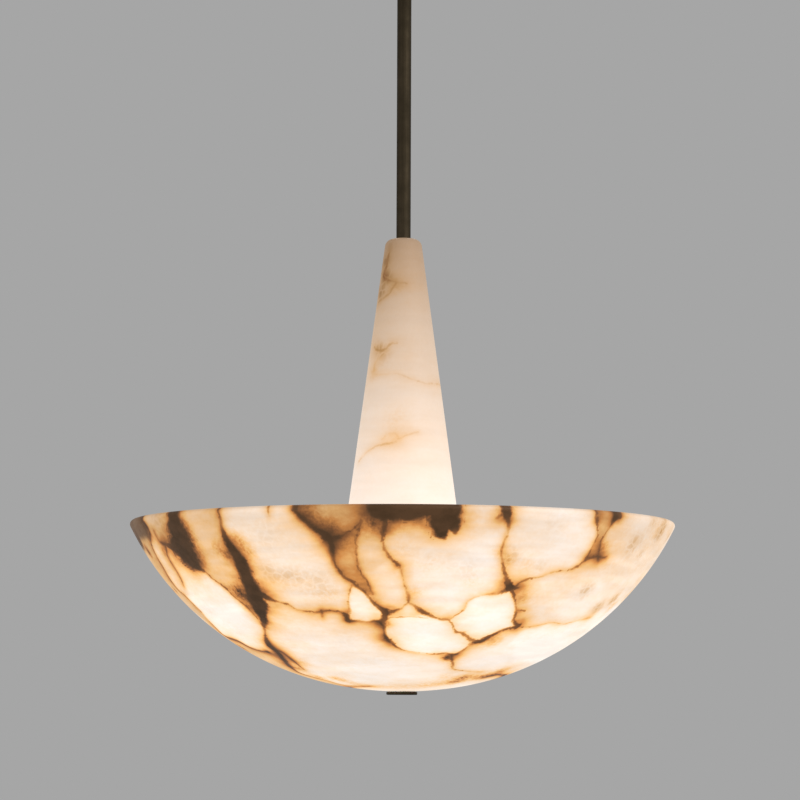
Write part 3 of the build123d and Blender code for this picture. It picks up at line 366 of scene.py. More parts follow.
def bowl_outline():
    """The bowl's closed outline up the outside and down the inside, each point's twin on the outer face, and
    how many points that face has."""
    lean = BOWL_BLEND_RADIUS / BOWL_BASE_ARC
    inward = np.array((-lean, math.sqrt(1 - lean**2)))
    base = np.array((0, RIM_Z - BOWL_DEPTH + BOWL_BASE_ARC))
    blend = base - inward * BOWL_BASE_ARC
    outer_round = np.array((BOWL_RADIUS - BOWL_RIM_ROUND, RIM_Z - BOWL_RIM_ROUND))
    chord = outer_round - blend
    side_radius = (chord @ chord - BOWL_RIM_ROUND**2) / (2 * (chord @ inward - BOWL_RIM_ROUND))
    side = blend + inward * side_radius
    drop = RIM_Z - BOWL_RIM_ROUND - side[1]
    inner_reach = math.sqrt((side_radius - BOWL_WALL + BOWL_RIM_ROUND) ** 2 - drop**2)
    inner_round = np.array((side[0] + inner_reach, RIM_Z - BOWL_RIM_ROUND))
    blend_angle = angle_of(-inward)
    inner_angle = angle_of(inner_round - side)
    outer_angle = angle_of(outer_round - side)
    spot_angle = -math.acos(FINIAL_SPOT_RADIUS / BOWL_BASE_ARC)
    land_angle = -math.acos(CLAMP_LAND_RADIUS / (BOWL_BASE_ARC - BOWL_WALL))

    outside = arc(base, BOWL_BASE_ARC, spot_angle, blend_angle, BOWL_BASE_POINTS)
    outside += arc(side, side_radius, blend_angle, outer_angle, BOWL_SIDE_POINTS)[1:]
    edge = arc(outer_round, BOWL_RIM_ROUND, outer_angle, math.pi / 2, RIM_POINTS)[1:]
    edge += arc(inner_round, BOWL_RIM_ROUND, math.pi / 2, math.pi + inner_angle, RIM_POINTS)
    inside, twins = (
        arc(side, side_radius - inset, inner_angle, blend_angle, INNER_SIDE_POINTS)[1:]
        + arc(base, BOWL_BASE_ARC - inset, blend_angle, land_angle, INNER_BASE_POINTS)[1:]
        for inset in (BOWL_WALL, 0)
    )
    land = (BOWL_HOLE_RADIUS, inside[-1][1])
    spot = (BOWL_HOLE_RADIUS, outside[0][1])
    hole = run(inside[-1], land, LAND_POINTS) + run(land, spot, HOLE_POINTS)
    hole += run(spot, outside[0], SPOT_POINTS)[:-1]
    return outside + edge + inside + hole, outside + edge + twins + hole, len(outside)


def cone_outline():
    """The spire's closed outline up the outside and down the inside, each point's twin on the outer face, and
    how many points that face has."""
    count = CONE_ROUND_POINTS
    crown = rounded_loop(
        [(CONE_BASE_RADIUS, CONE_BASE), (CONE_TOP_RADIUS, CONE_TOP), (CONE_HOLE_RADIUS, CONE_TOP),
         (CONE_HOLE_RADIUS, CONE_CEILING), (CAVITY_TOP_RADIUS, CONE_CEILING),
         (CAVITY_BASE_RADIUS, CONE_BASE)],
        [CONE_BASE_ROUND, CONE_TOP_ROUND, 0, 0, 0, 0], count)
    foot, top, bore = crown[:count], crown[count:2 * count], crown[2 * count:]
    outline = foot + run(foot[-1], top[0], CONE_SIDE_POINTS)[:-1] + top
    face_rows = len(outline)
    outline += run(top[-1], bore[0], CROWN_POINTS) + run(bore[0], bore[1], BORE_POINTS)
    outline += [bore[2]] + run(bore[2], bore[3], CAVITY_POINTS) + run(bore[3], foot[0], FOOT_POINTS)[:-1]
    taper = (CONE_BASE_RADIUS - CONE_TOP_RADIUS) / (CONE_TOP - CONE_BASE)
    return outline, [np.array((CONE_TOP_RADIUS + (CONE_TOP - z) * taper, z)) for _, z in outline], face_rows


# Meshes

def full_turn(count):
    """Angles once round, evenly."""
    return np.linspace(0, 2 * math.pi, count, endpoint=False)


def front_and_back(front, back):
    """Turns round the axis from the left over the front, more of them where the photograph looks."""
    quarter = math.pi / 2
    return np.concatenate((np.linspace(-quarter, quarter, front, endpoint=False),
                           np.linspace(quarter, 3 * quarter, back, endpoint=False)))


def ring_points(outline, turns):
    """An outline taken round the Z axis, row by row; turn 0 is the front."""
    outline = np.array(outline)
    radius = outline[:, :1]
    height = np.repeat(outline[:, 1:], len(turns), 1)
    return np.stack((radius * np.sin(turns), -radius * np.cos(turns), height), -1).reshape(-1, 3)


def ring_faces(rows, columns):
    """Faces of a closed outline taken all the way round, outwards if it goes up its outer side."""
    index = np.arange(rows * columns).reshape(rows, columns)
    beside = np.roll(index, -1, 1)
    above = np.roll(index, -1, 0)
    return np.stack((index, beside, np.roll(above, -1, 1), above), -1).reshape(-1, 4)


def add_object(name, data):
    """An object in the scene at the origin."""
    made = bpy.data.objects.new(name, data)
    bpy.context.scene.collection.objects.link(made)
    return made


def lathe(name, outline, turns):
    """A smooth object turned from a closed outline, with its real corners kept sharp."""
    mesh = bpy.data.meshes.new(name)
    mesh.from_pydata(ring_points(outline, turns).tolist(), [], ring_faces(len(outline), len(turns)).tolist())
    mesh.shade_smooth()
    mesh.set_sharp_from_angle(angle=SHARP_ANGLE)
    return add_object(name, mesh)


def finish_piece(piece, body, slot, material, *nodes):
    """Gives a piece its material, its body and the solids it stands for; the slot is not used."""
    piece.data.materials.clear()
    piece.data.materials.append(material)
    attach(piece, body)
    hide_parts(*nodes)


# Veins

def smooth_path(path, cuts=4):
    """More rows between those of a path, on a curve through them."""
    rows = np.array(path, float)
    rows = np.vstack((2 * rows[0] - rows[1], rows, 2 * rows[-1] - rows[-2]))
    made = []
    for before, here, there, after in zip(rows, rows[1:], rows[2:], rows[3:]):
        for share in np.arange(cuts) / cuts:
            bend = 2 * before - 5 * here + 4 * there - after
            twist = 3 * here - before - 3 * there + after
            made.append(here + 0.5 * ((there - before) * share + bend * share**2 + twist * share**3))
    return np.array(made + [rows[-2]])


def seen_at(tree, across, down):
    """The place on a surface that the camera sees at a pixel, or just below it at an edge."""
    middle = PICTURE_SIZE / 2
    for lower in range(EDGE_PIXELS):
        way = Vector(((across - middle) / FOCAL_PIXELS, (middle - down - lower) / FOCAL_PIXELS, -1))
        place = tree.ray_cast(CAMERA_PLACE, (CAMERA_TURN @ way).normalized())[0]
        if place is not None:
            return np.array(place)
    return None


def to_back(place):
    """A place of the front taken to the unseen side, mirrored and turned."""
    cosine, sine = math.cos(math.radians(BACK_TURN)), math.sin(math.radians(BACK_TURN))
    return np.array((cosine * place[0] + sine * place[1], sine * place[0] - cosine * place[1], place[2]))


def under_at(tree, across, back):
    """The place on a surface straight above a point given in millimetres."""
    return np.array(tree.ray_cast(Vector((across / 1000, back / 1000, -2)), Vector((0, 0, 1)))[0])


def by_column(rows):
    """Rows as one array for each column."""
    return tuple(np.array(column) for column in zip(*rows))


def traced(tree, paths, place_at):
    """The veins on a surface: places along each, and half its width there."""
    made = []
    for path in paths:
        rows = [(place_at(tree, across, down), width) for across, down, width in smooth_path(path)]
        rows = [(place, max(width, THINNEST_VEIN) * PIXEL / 2) for place, width in rows if place is not None]
        made.append(by_column(rows))
    return made


def behind(veins):
    """The front's veins again on the unseen side."""
    made = []
    for path, halves in veins:
        rows = zip(map(to_back, path), halves)
        parts = [list(part) for hidden, part in groupby(rows, lambda row: row[0][1] > BACK_EDGE) if hidden]
        made += [by_column(part) for part in parts if len(part) > 1]
    return made


def clearance(vein, other):
    """The least clear stone between two veins."""
    spans = np.linalg.norm(vein[0][:, None] - other[0], axis=2)
    return (spans - vein[1][:, None] - other[1]).min()


def layered(veins):
    """Shares veins out among the layers, each one where those already there are farthest off."""
    layers = [[] for _ in range(VEIN_LAYERS)]
    for vein in veins:
        best = max(layers, key=lambda layer: min((clearance(vein, other) for other in layer), default=1))
        best.append(vein)
    return layers


def halo_of(gap, half):
    """How much a vein of some half width colours the stone at a gap beside it: strongly near, faintly far."""
    strength = np.minimum(1, HALO_LEAST + half / HALO_HALF)
    clear = np.maximum(gap, 0)
    near = np.exp(-clear / (HALO_NEAR + HALO_WIDENING * half))
    return strength * ((1 - HALO_FAR_SHARE) * near + HALO_FAR_SHARE * np.exp(-clear / HALO_FAR))


def trace_fields(points, outward, veins):
    """For each point the gap to the nearest vein's edge, that vein's half width, the way to its middle, and
    the halo."""
    gap = np.full(len(points), VEIN_REACH)
    half, halo = np.zeros((2, len(points)))
    way = outward * VEIN_REACH
    for path, halves in veins:
        low, high = path.min(0) - VEIN_REACH, path.max(0) + VEIN_REACH
        near = np.flatnonzero(((points > low) & (points < high)).all(1))
        for here, there, half_here, half_there in zip(path, path[1:], halves, halves[1:]):
            line = there - here
            share = np.clip((points[near] - here) @ line / max(line @ line, 1e-12), 0, 1)
            to = here + share[:, None] * line - points[near]
            width = half_here + (half_there - half_here) * share
            clear = np.linalg.norm(to, axis=1) - width
            halo[near] = np.maximum(halo[near], halo_of(clear, width))
            closer = clear < gap[near]
            chosen = near[closer]
            gap[chosen], half[chosen], way[chosen] = clear[closer], width[closer], to[closer]
    return gap, half, way, halo


def fade(values, start, end):
    """0 below start, 1 above end, and smooth between."""
    share = np.clip((values - start) / (end - start), 0, 1)
    return share * share * (3 - 2 * share)


def spot_field(points, tree, spots):
    """The sum of soft round spots placed by pixel, in front and again behind."""
    total = np.zeros(len(points))
    for across, down, reach, strength in spots:
        front = seen_at(tree, across, down)
        for place in () if front is None else (front, to_back(front)):
            total += strength * np.exp(-(((points - place) ** 2).sum(1)) / (reach * PIXEL) ** 2)
    return total


def cell_seeds(tree, cells):
    """A place, density and glow for each crystal cell, in front and again behind with other tones."""
    random = np.random.default_rng(BACK_SEED)
    seeds = [(seen_at(tree, across, down), density, glow) for across, down, density, glow in cells]
    for place, density, glow in list(seeds):
        back = to_back(place)
        if back[1] > BACK_EDGE:
            seeds.append((back, density * random.uniform(*BACK_DENSITY), glow * random.uniform(*BACK_GLOW)))
    return seeds


def cell_owners(grid, gap, seeds):
    """Which cell each point of a grid belongs to, cells growing from their seeds and slowed down by veins."""
    drag = 1 + VEIN_DRAG * np.exp(-np.maximum(gap, 0) / VEIN_DRAG_REACH)
    cost = np.full(drag.shape, UNREACHED)
    owner = np.zeros(drag.shape, int)
    for number, (place, _, _) in enumerate(seeds):
        start = np.unravel_index(((grid - place) ** 2).sum(2).argmin(), drag.shape)
        cost[start], owner[start] = 0, number
    moves = []
    for axis, shift in ((0, 1), (0, -1), (1, 1), (1, -1)):
        step = np.linalg.norm(grid - np.roll(grid, shift, axis), axis=2)
        step *= (drag + np.roll(drag, shift, axis)) / 2
        if axis == 0:
            step[0 if shift == 1 else -1] = UNREACHED
        moves.append((axis, shift, step))
    for _ in range(sum(drag.shape)):
        for axis, shift, step in moves:
            reached = np.roll(cost, shift, axis) + step
            closer = reached < cost
            cost = np.where(closer, reached, cost)
            owner = np.where(closer, np.roll(owner, shift, axis), owner)
    return owner


def softened(tone):
    """A grid of numbers with its steps softened, round the axis and up the face."""
    for _ in range(SOFTENINGS):
        padded = np.vstack((tone[:1], tone, tone[-1:]))
        tone = (padded[:-2] + padded[2:] + np.roll(tone, 1, 1) + np.roll(tone, -1, 1) + 2 * tone) / 6
    return tone


def write_fields(mesh, fields):
    """Stores numbers or directions on a mesh's points by name."""
    for name, values in fields.items():
        kind, key = ("FLOAT_VECTOR", "vector") if values.ndim == 2 else ("FLOAT", "value")
        mesh.attributes.new(name, kind, "POINT").data.foreach_set(key, values.astype(np.float32).ravel())


def unit(ways):
    """Directions of length 1."""
    return ways / np.maximum(np.linalg.norm(ways, axis=1), 1e-9)[:, None]


def stone_fields(piece, twins, face_rows, turns, middle, marks):
    """A stone piece's veins, in millimetres, its stains and painted shade, and its cells, for every point of
    its mesh.
    """
    veins, under, steps, brown, grey, cells = marks
    corners = [vertex.co for vertex in piece.data.vertices]
    tree = BVHTree.FromPolygons(corners, [list(face.vertices) for face in piece.data.polygons])
    rows = np.array(twins)
    face = ring_points(rows[:face_rows], turns)
    outward = unit(face - middle(face))
    front = traced(tree, veins, seen_at)
    veins = front + behind(front) + traced(tree, under, under_at)
    parts = [trace_fields(face, outward, layer) for layer in layered(veins)]
    shape = (face_rows, len(turns))
    fields = {
        "halo": 1 - np.prod([1 - part[3] for part in parts], 0),
        "brown": spot_field(face, tree, brown),
        "grey": spot_field(face, tree, grey),
    }
    if cells:
        seeds = cell_seeds(tree, cells)
        edges = trace_fields(face, outward, traced(tree, steps, seen_at))
        walls = [part[0] for part in (*parts, edges)]
        owner = cell_owners(face.reshape(*shape, 3), np.min(walls, 0).reshape(shape), seeds)
        fields["density_and_shade"] = softened(np.array([seed[1] for seed in seeds])[owner]).ravel()
        fields["cell_glow"] = softened(np.array([seed[2] for seed in seeds])[owner]).ravel()
    for number, (gap, half, way, _) in enumerate(parts):
        far = fade(gap, *WAY_FADE)[:, None]
        span = (gap + half)[:, None]
        fields[f"vein_half_{number}"] = half * 1000
        fields[f"vein_way_{number}"] = unit(way * (1 - far) + outward * far * span) * span * 1000
    nearest = np.linalg.norm(rows[:, None] - rows[:face_rows], axis=2).argmin(1)
    index = np.arange(len(face)).reshape(shape)[nearest].ravel()
    return {name: values[index] for name, values in fields.items()}


def bowl_piece(material):
    """The veined bowl."""
    outline, twins, face_rows = bowl_outline()
    turns = front_and_back(*BOWL_COLUMNS)
    bowl = lathe("veined_bowl", outline, turns)
    middle = np.array((0, 0, RIM_Z + BOWL_CENTRE_UP))
    marks = (BOWL_VEINS, UNDER_VEINS, BOWL_STEPS, BOWL_BROWN, BOWL_GREY, BOWL_CELLS)
    fields = stone_fields(bowl, twins, face_rows, turns, lambda face: middle, marks)
    height = (RIM_Z - ring_points(outline, turns)[:, 2]) / BOWL_DEPTH
    outer = np.repeat(np.arange(len(outline)) < face_rows + RIM_POINTS, len(turns))
    glow = BOWL_GLOW + BOWL_GLOW_RISE * fade(height, *BOWL_GLOW_FADE)
    glow *= INSIDE_SHARE + (1 - INSIDE_SHARE) * outer * fade(height, *INSIDE_FADE)
    write_fields(bowl.data, fields | {"glow": glow, "contrast": np.ones(len(glow))})
    finish_piece(bowl, "bowl", "alabaster", material, "alabaster_bowl")


def cone_piece(material):
    """The spire, with fainter veins and brighter towards its foot."""
    outline, twins, face_rows = cone_outline()
    turns = front_and_back(*CONE_COLUMNS)
    cone = lathe("veined_spire", outline, turns)
    marks = (CONE_VEINS, (), (), CONE_BROWN, CONE_GREY, ())
    fields = stone_fields(cone, twins, face_rows, turns, lambda face: face * (0, 0, 1), marks)
    up = np.clip((ring_points(twins, turns)[:, 2] - CONE_BASE) / (CONE_TOP - CONE_BASE), 0, 1)
    write_fields(cone.data, fields | {
        # The density rising up the spire is painted light and shade: whiter stone at the foot, where the
        # inner light is strongest, and warmer, darker stone towards the crown
        "density_and_shade": CONE_DENSITY + CONE_PAINTED_SHADE_RISE * up,
        "cell_glow": np.ones(len(up)),
        "glow": CONE_GLOW + CONE_GLOW_RISE * (1 - up) ** CONE_GLOW_POWER,
        "contrast": np.full(len(up), CONE_CONTRAST),
    })
    finish_piece(cone, "pendant", "alabaster", material, "alabaster_cone")


# Material nodes

def make(tree, kind, inputs=None, **settings):
    """A node; an input given as a socket is linked, and anything else is its value."""
    made = tree.nodes.new(kind)
    for name, value in settings.items():
        setattr(made, name, value)
    for name, value in (inputs or {}).items():
        if isinstance(value, bpy.types.NodeSocket):
            tree.links.new(value, made.inputs[name])
        else:
            made.inputs[name].default_value = value
    return made


def math_of(tree, operation, first, second=0.0, third=0.0, clamp=False):
    """One sum on numbers or sockets."""
    inputs = {0: first, 1: second, 2: third}
    return make(tree, "ShaderNodeMath", inputs, operation=operation, use_clamp=clamp).outputs[0]


def product(tree, first, *others):
    """Numbers or sockets multiplied in turn."""
    for other in others:
        first = math_of(tree, "MULTIPLY", first, other)
    return first


def spread(tree, value, low, high, to_low=0.0, to_high=1.0, smooth=True):
    """A number taken from one range to another, held at its ends."""
    inputs = {"Value": value, "From Min": low, "From Max": high, "To Min": to_low, "To Max": to_high}
    kind = "SMOOTHSTEP" if smooth else "LINEAR"
    return make(tree, "ShaderNodeMapRange", inputs, interpolation_type=kind).outputs["Result"]


def field(tree, name, output="Fac"):
    """A stored field of the mesh."""
    return make(tree, "ShaderNodeAttribute", attribute_name=name).outputs[output]


def in_object(tree, stretch=(1, 1, 1)):
    """The place of a point in the object's own space, stretched."""
    place = make(tree, "ShaderNodeTexCoord").outputs["Object"]
    return make(tree, "ShaderNodeMapping", {"Vector": place, "Scale": stretch}).outputs["Vector"]


def noise(tree, scale, detail=3.0, roughness=0.55, stretch=(1, 1, 1), output="Fac"):
    """Cloudy noise in the object's own space, in waves per metre."""
    inputs = {"Vector": in_object(tree, stretch), "Scale": scale, "Detail": detail, "Roughness": roughness}
    return make(tree, "ShaderNodeTexNoise", inputs).outputs[output]


def vector_of(tree, operation, first, second=(0, 0, 0), output="Vector", **inputs):
    """One sum on directions."""
    made = make(tree, "ShaderNodeVectorMath", {0: first, 1: second, **inputs}, operation=operation)
    return made.outputs[output]


def ramp(tree, value, stops):
    """A colour for each value, from stops of place and picture colour."""
    made = make(tree, "ShaderNodeValToRGB", {"Fac": value})
    elements = made.color_ramp.elements
    while len(elements) < len(stops):
        elements.new(1.0)
    for element, (place, colour) in zip(elements, stops):
        element.position = place
        element.color = linear(*colour)
    return made.outputs["Color"]


def two_tone(tree, waves, dark, pale):
    """A colour that goes from dark to pale with noise."""
    return ramp(tree, waves, ((0.3, dark), (0.7, pale)))


def bumps(tree, height, strength, distance):
    """A surface's small relief."""
    inputs = {"Height": height, "Strength": strength, "Distance": distance}
    return make(tree, "ShaderNodeBump", inputs).outputs["Normal"]


def new_material(name, **settings):
    """A material with one shader, whose even settings are on its own sockets."""
    made = bpy.data.materials.new(name)
    made.use_nodes = True
    shader = made.node_tree.nodes["Principled BSDF"]
    for socket, value in settings.items():
        shader.inputs[socket.replace("_", " ")].default_value = value
    return made, made.node_tree, shader


def join(tree, shader, **sockets):
    """Links sockets to the shader's inputs by name."""
    for name, socket in sockets.items():
        tree.links.new(socket, shader.inputs[name.replace("_", " ")])


def vein_core(tree, layer, shift, swell, fray, barbs, broken):
    """How dark one layer's veins are at a point: 1 in a wide vein's middle, less in a thin and broken one."""
    half = field(tree, f"vein_half_{layer}")
    way = field(tree, f"vein_way_{layer}", "Vector")
    aside = vector_of(tree, "DOT_PRODUCT", vector_of(tree, "NORMALIZE", way), shift, "Value")
    span = math_of(tree, "ADD", vector_of(tree, "LENGTH", way, output="Value"), aside)
    gap = math_of(tree, "SUBTRACT", math_of(tree, "ABSOLUTE", span), product(tree, half, swell))
    gap = math_of(tree, "MULTIPLY_ADD", fray, spread(tree, half, 0.3, 5.0, 0.5, 0.8, smooth=False), gap)
    gap = math_of(tree, "MULTIPLY_ADD", barbs, spread(tree, half, 0.3, 5.0, 0.5, 0.25, smooth=False), gap)
    soft = math_of(tree, "MULTIPLY_ADD", half, 0.24, 1.0)
    core = spread(tree, gap, soft, product(tree, soft, -1.0))
    return product(tree, core, spread(tree, half, 0.25, 5.0, broken, 1.0, smooth=False))


def lit_alabaster():
    """Polished stone lit from inside: ragged dark veins, orange halos, cream and bright cells."""
    made, tree, shader = new_material(
        "lit_alabaster", IOR=1.53, Specular_IOR_Level=0.12, Emission_Strength=1.0)
    bands = (1, 1, 1.8)
    cloud = noise(tree, 13, 4, 0.6, bands)
    patch = noise(tree, 45, 4, 0.6, bands)
    grain = noise(tree, 260, 4, 0.65)
    shift = vector_of(tree, "SUBTRACT", noise(tree, 70, 4, 0.6, output="Color"), (0.5, 0.5, 0.5))
    shift = vector_of(tree, "SCALE", shift, Scale=7.0)
    swell = spread(tree, patch, 0.3, 0.7, 0.65, 1.35, smooth=False)
    crystals = {"Vector": in_object(tree), "Scale": 110.0}
    web = make(tree, "ShaderNodeTexVoronoi", crystals, feature="DISTANCE_TO_EDGE").outputs["Distance"]
    contrast = field(tree, "contrast")
    calm = spread(tree, contrast, 0.3, 1.0, 0.5, 1.0)
    barbs = product(tree, spread(tree, web, 0.0, 0.17), spread(tree, patch, 0.42, 0.62, 0.9, 2.6), calm)
    fray = product(tree, math_of(tree, "MULTIPLY_ADD", grain, 6.5, -4.4), calm)
    broken = spread(tree, patch, 0.35, 0.65, 0.02, 0.45)
    core = 0.0
    for layer in range(VEIN_LAYERS):
        core = math_of(tree, "MAXIMUM", core, vein_core(tree, layer, shift, swell, fray, barbs, broken))
    shade = spread(tree, core, 0.0, 1.0, 1.0, 0.6, smooth=False)
    core = product(tree, core, contrast)

    cell_glow = field(tree, "cell_glow")
    halo = product(tree, field(tree, "halo"), spread(tree, cloud, 0.35, 0.65, 0.5, 0.82),
                   spread(tree, cell_glow, 1.03, 1.1, 1.0, 0.48), contrast)
    brown = product(tree, field(tree, "brown"), spread(tree, grain, 0.3, 0.7, 0.6, 1.2))
    grey = math_of(tree, "MULTIPLY", field(tree, "grey"), spread(tree, web, 0.0, 0.2, 0.45, 1.0), clamp=True)
    mottle = 0.0
    for waves, low, high in ((cloud, -0.05, 0.06), (patch, -0.03, 0.03), (grain, -0.02, 0.02)):
        mottle = math_of(tree, "ADD", mottle, spread(tree, waves, 0.3, 0.7, low, high))
    # The stored density holds the bowl's cells and, on the spire, painted shade rising towards its crown
    density = math_of(tree, "MULTIPLY_ADD", mottle, contrast, field(tree, "density_and_shade"))
    density = math_of(tree, "MULTIPLY_ADD", grey, 0.26, density)
    # Halos and brown places make the stone denser; the brown places hold painted shade along the bowl's
    # lowest part
    for stain_and_shade in (halo, brown):
        clear = math_of(tree, "SUBTRACT", 1.0, stain_and_shade, clamp=True)
        density = math_of(tree, "MULTIPLY_ADD", density, clear, math_of(tree, "SUBTRACT", 1.0, clear))
    darker = math_of(tree, "SUBTRACT", spread(tree, patch, 0.35, 0.65, 1.0, 0.9), density)
    density = math_of(tree, "MULTIPLY_ADD", core, darker, density)

    light = ramp(tree, density, (
        (0.0, (255, 246, 237)), (0.15, (255, 232, 207)), (0.3, (255, 213, 163)),
        (0.45, (252, 194, 112)), (0.6, (228, 148, 70)), (0.75, (150, 90, 44)),
        (0.9, (62, 42, 28)), (1.0, (36, 25, 17))))
    layers = spread(tree, noise(tree, 16, 4, 0.55, (0.7, 0.7, 6)), 0.3, 0.7, -0.08, 0.07)
    glow = product(tree, field(tree, "glow"), shade, cell_glow,
                   spread(tree, grey, 0.0, 1.0, 1.0, 0.58, smooth=False),
                   math_of(tree, "MULTIPLY_ADD", layers, contrast, 1.0))
    light = vector_of(tree, "SCALE", light, Scale=glow)
    stone = ramp(tree, density, (
        (0.0, (177, 156, 139)), (0.35, (163, 133, 107)), (0.6, (123, 90, 61)),
        (0.8, (98, 71, 48)), (1.0, (82, 59, 37))))
    join(tree, shader, Base_Color=stone, Emission_Color=light,
         Roughness=spread(tree, grain, 0.2, 0.8, 0.36, 0.5), Normal=bumps(tree, patch, 0.05, 0.002))
    return made


def metal(name, dark, pale, low, high, stretch):
    """A satin metal with fine drawn lines and cloudy tarnish."""
    made, tree, shader = new_material(name, Metallic=1.0)
    lines = noise(tree, 900, 2, 0.5, stretch)
    tarnish = noise(tree, 55, 5, 0.62)
    both = math_of(tree, "MULTIPLY_ADD", lines, 0.35, product(tree, tarnish, 0.65))
    join(tree, shader, Base_Color=two_tone(tree, both, dark, pale),
         Roughness=spread(tree, both, 0.3, 0.7, high, low), Normal=bumps(tree, lines, 0.12, 0.0003))
    return made


def glazed(name, dark, pale, low, high, **settings):
    """A pale moulded or fired surface with slight clouding."""
    made, tree, shader = new_material(name, **settings)
    cloud = noise(tree, 120, 4)
    grain = noise(tree, 1600, 3)
    join(tree, shader, Base_Color=two_tone(tree, cloud, dark, pale),
         Roughness=spread(tree, grain, 0.3, 0.7, low, high), Normal=bumps(tree, grain, 0.1, 0.0002))
    return made


def lit_opal():
    """Opal lamp glass, lit evenly with a faint cloud."""
    made, tree, shader = new_material("lit_opal", Roughness=0.25, Emission_Strength=1.0)
    cloud = noise(tree, 150, 3)
    glass = two_tone(tree, cloud, (236, 230, 220), (246, 243, 238))
    light = two_tone(tree, cloud, (255, 238, 208), (255, 247, 230))
    join(tree, shader, Base_Color=glass, Emission_Color=light)
    return made


def finishes():
    """The material of each of the record's slots."""
    return {
        "alabaster": lit_alabaster(),
        "bronze": metal("dark_bronze", (65, 57, 44), (77, 67, 52), 0.6, 0.72, (1, 1, 0.02)),
        "steel": metal("zinc_steel", (150, 152, 155), (178, 180, 183), 0.44, 0.58, (1, 1, 1)),
        "brass": metal("satin_brass", (176, 138, 76), (218, 182, 116), 0.22, 0.38, (1, 1, 1)),
        "ceramic": glazed("fired_ceramic", (226, 221, 211), (240, 237, 230), 0.3, 0.45),
        "opal": lit_opal(),
        "silicone": glazed("clear_silicone", (196, 194, 188), (216, 214, 209), 0.5, 0.65,
                           Subsurface_Weight=0.2),
        "terminal": glazed("moulded_terminal", (222, 220, 212), (234, 232, 226), 0.4, 0.55),
    }


# Fittings

def seal(node, body, material, rounding):
    """A soft ring with rounded edges in the place of its plain solid."""
    low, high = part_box(node)
    bottom, top = low.z + SEAL_CLEARANCE, high.z - SEAL_CLEARANCE
    inner = min(math.hypot(*vertex.co.xy) for vertex in frame["nodes"][node].data.vertices)
    corners = [(inner, bottom), (high.x, bottom), (high.x, top), (inner, top)]
    outline = rounded_loop(corners, [rounding] * 4, SEAL_ROUND_POINTS)
    ring = lathe(node + "_seal", outline, full_turn(SEAL_COLUMNS))
    finish_piece(ring, body, "silicone", material, node)


def grommet(material):
    """The soft sleeve round the stem with its flange under the crown, edges rounded."""
    low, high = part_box("cone_grommet")
    corners = [(GROMMET_BORE_RADIUS, low.z), (high.x, low.z), (high.x, CONE_CEILING),
               (GROMMET_SLEEVE_RADIUS, CONE_CEILING), (GROMMET_SLEEVE_RADIUS, high.z),
               (GROMMET_BORE_RADIUS, high.z)]
    rounds = [GROMMET_BORE_ROUND, GROMMET_ROUND, GROMMET_ROUND, 0, GROMMET_ROUND, GROMMET_BORE_ROUND]
    made = lathe("stem_grommet", rounded_loop(corners, rounds, SEAL_ROUND_POINTS), full_turn(GROMMET_COLUMNS))
    finish_piece(made, "pendant", "silicone", material, "cone_grommet")


def seals(material):
    """All the soft rings."""
    grommet(material)
    seal("cone_gasket", "pendant", material, SEAL_ROUND)
    seal("clamp_gasket", "pendant", material, SEAL_ROUND)
    seal("finial_gasket", "bowl", material, THIN_SEAL_ROUND)


def socket_of(group, name):
    """The identifier of a node group's input, by its name."""
    return next(item.identifier for item in group.interface.items_tree if item.name == name)


def from_nodes(name, group, start, material, **inputs):
    """A plain mesh object from a node group run on a start mesh."""
    made = add_object(name, start)
    modifier = made.modifiers.new(name, "NODES")
    modifier.node_group = group
    for key, value in inputs.items():
        modifier[socket_of(group, key)] = value
    modifier[socket_of(group, "Material")] = material
    bpy.context.view_layer.update()
    ready = made.evaluated_get(bpy.context.evaluated_depsgraph_get())
    mesh = bpy.data.meshes.new_from_object(ready)
    made.modifiers.clear()
    made.data = mesh
    mesh.name = name
    return made


def new_group(name, inputs):
    """A geometry node group that takes a mesh and named inputs and gives a mesh."""
    group = bpy.data.node_groups.new(name, "GeometryNodeTree")
    group.interface.new_socket("Geometry", in_out="OUTPUT", socket_type="NodeSocketGeometry")
    group.interface.new_socket("Geometry", in_out="INPUT", socket_type="NodeSocketGeometry")
    for key, kind in {**inputs, "Material": "NodeSocketMaterial"}.items():
        group.interface.new_socket(key, in_out="INPUT", socket_type=kind)
    return group, group.nodes.new("NodeGroupInput").outputs, group.nodes.new("NodeGroupOutput").inputs


def shape_of(group, kind, inputs, **settings):
    """What a geometry node gives."""
    return make(group, "GeometryNode" + kind, inputs, **settings).outputs[0]


def close_group(group, given, result, shape):
    """Makes a group's result real, gives it its material and puts it out."""
    shape = shape_of(group, "RealizeInstances", {"Geometry": shape})
    shape = shape_of(group, "SetShadeSmooth", {"Geometry": shape, "Shade Smooth": True})
    shape = shape_of(group, "SetMaterial", {"Geometry": shape, "Material": given["Material"]})
    group.links.new(shape, result[0])


def thread_group():
    """A helical ridge of a given length and pitch, added to the mesh that it is run on."""
    floats = dict.fromkeys(("Length", "Turns", "Radius", "Ridge"), "NodeSocketFloat")
    group, given, result = new_group("thread", floats | {"Start": "NodeSocketVector"})
    helix = shape_of(group, "CurveSpiral", {
        "Resolution": TUBE_COLUMNS, "Rotations": given["Turns"], "Start Radius": given["Radius"],
        "End Radius": given["Radius"], "Height": given["Length"]})
    section = {"Resolution": 4, "Radius": given["Ridge"]}
    profile = shape_of(group, "CurvePrimitiveCircle", section, mode="RADIUS")
    ridge = shape_of(group, "CurveToMesh", {"Curve": helix, "Profile Curve": profile, "Fill Caps": True})
    placed = shape_of(group, "Transform", {"Geometry": ridge, "Translation": given["Start"]})
    both = make(group, "GeometryNodeJoinGeometry", {"Geometry": given["Geometry"]})
    group.links.new(placed, both.inputs[0])
    close_group(group, given, result, both.outputs[0])
    return group


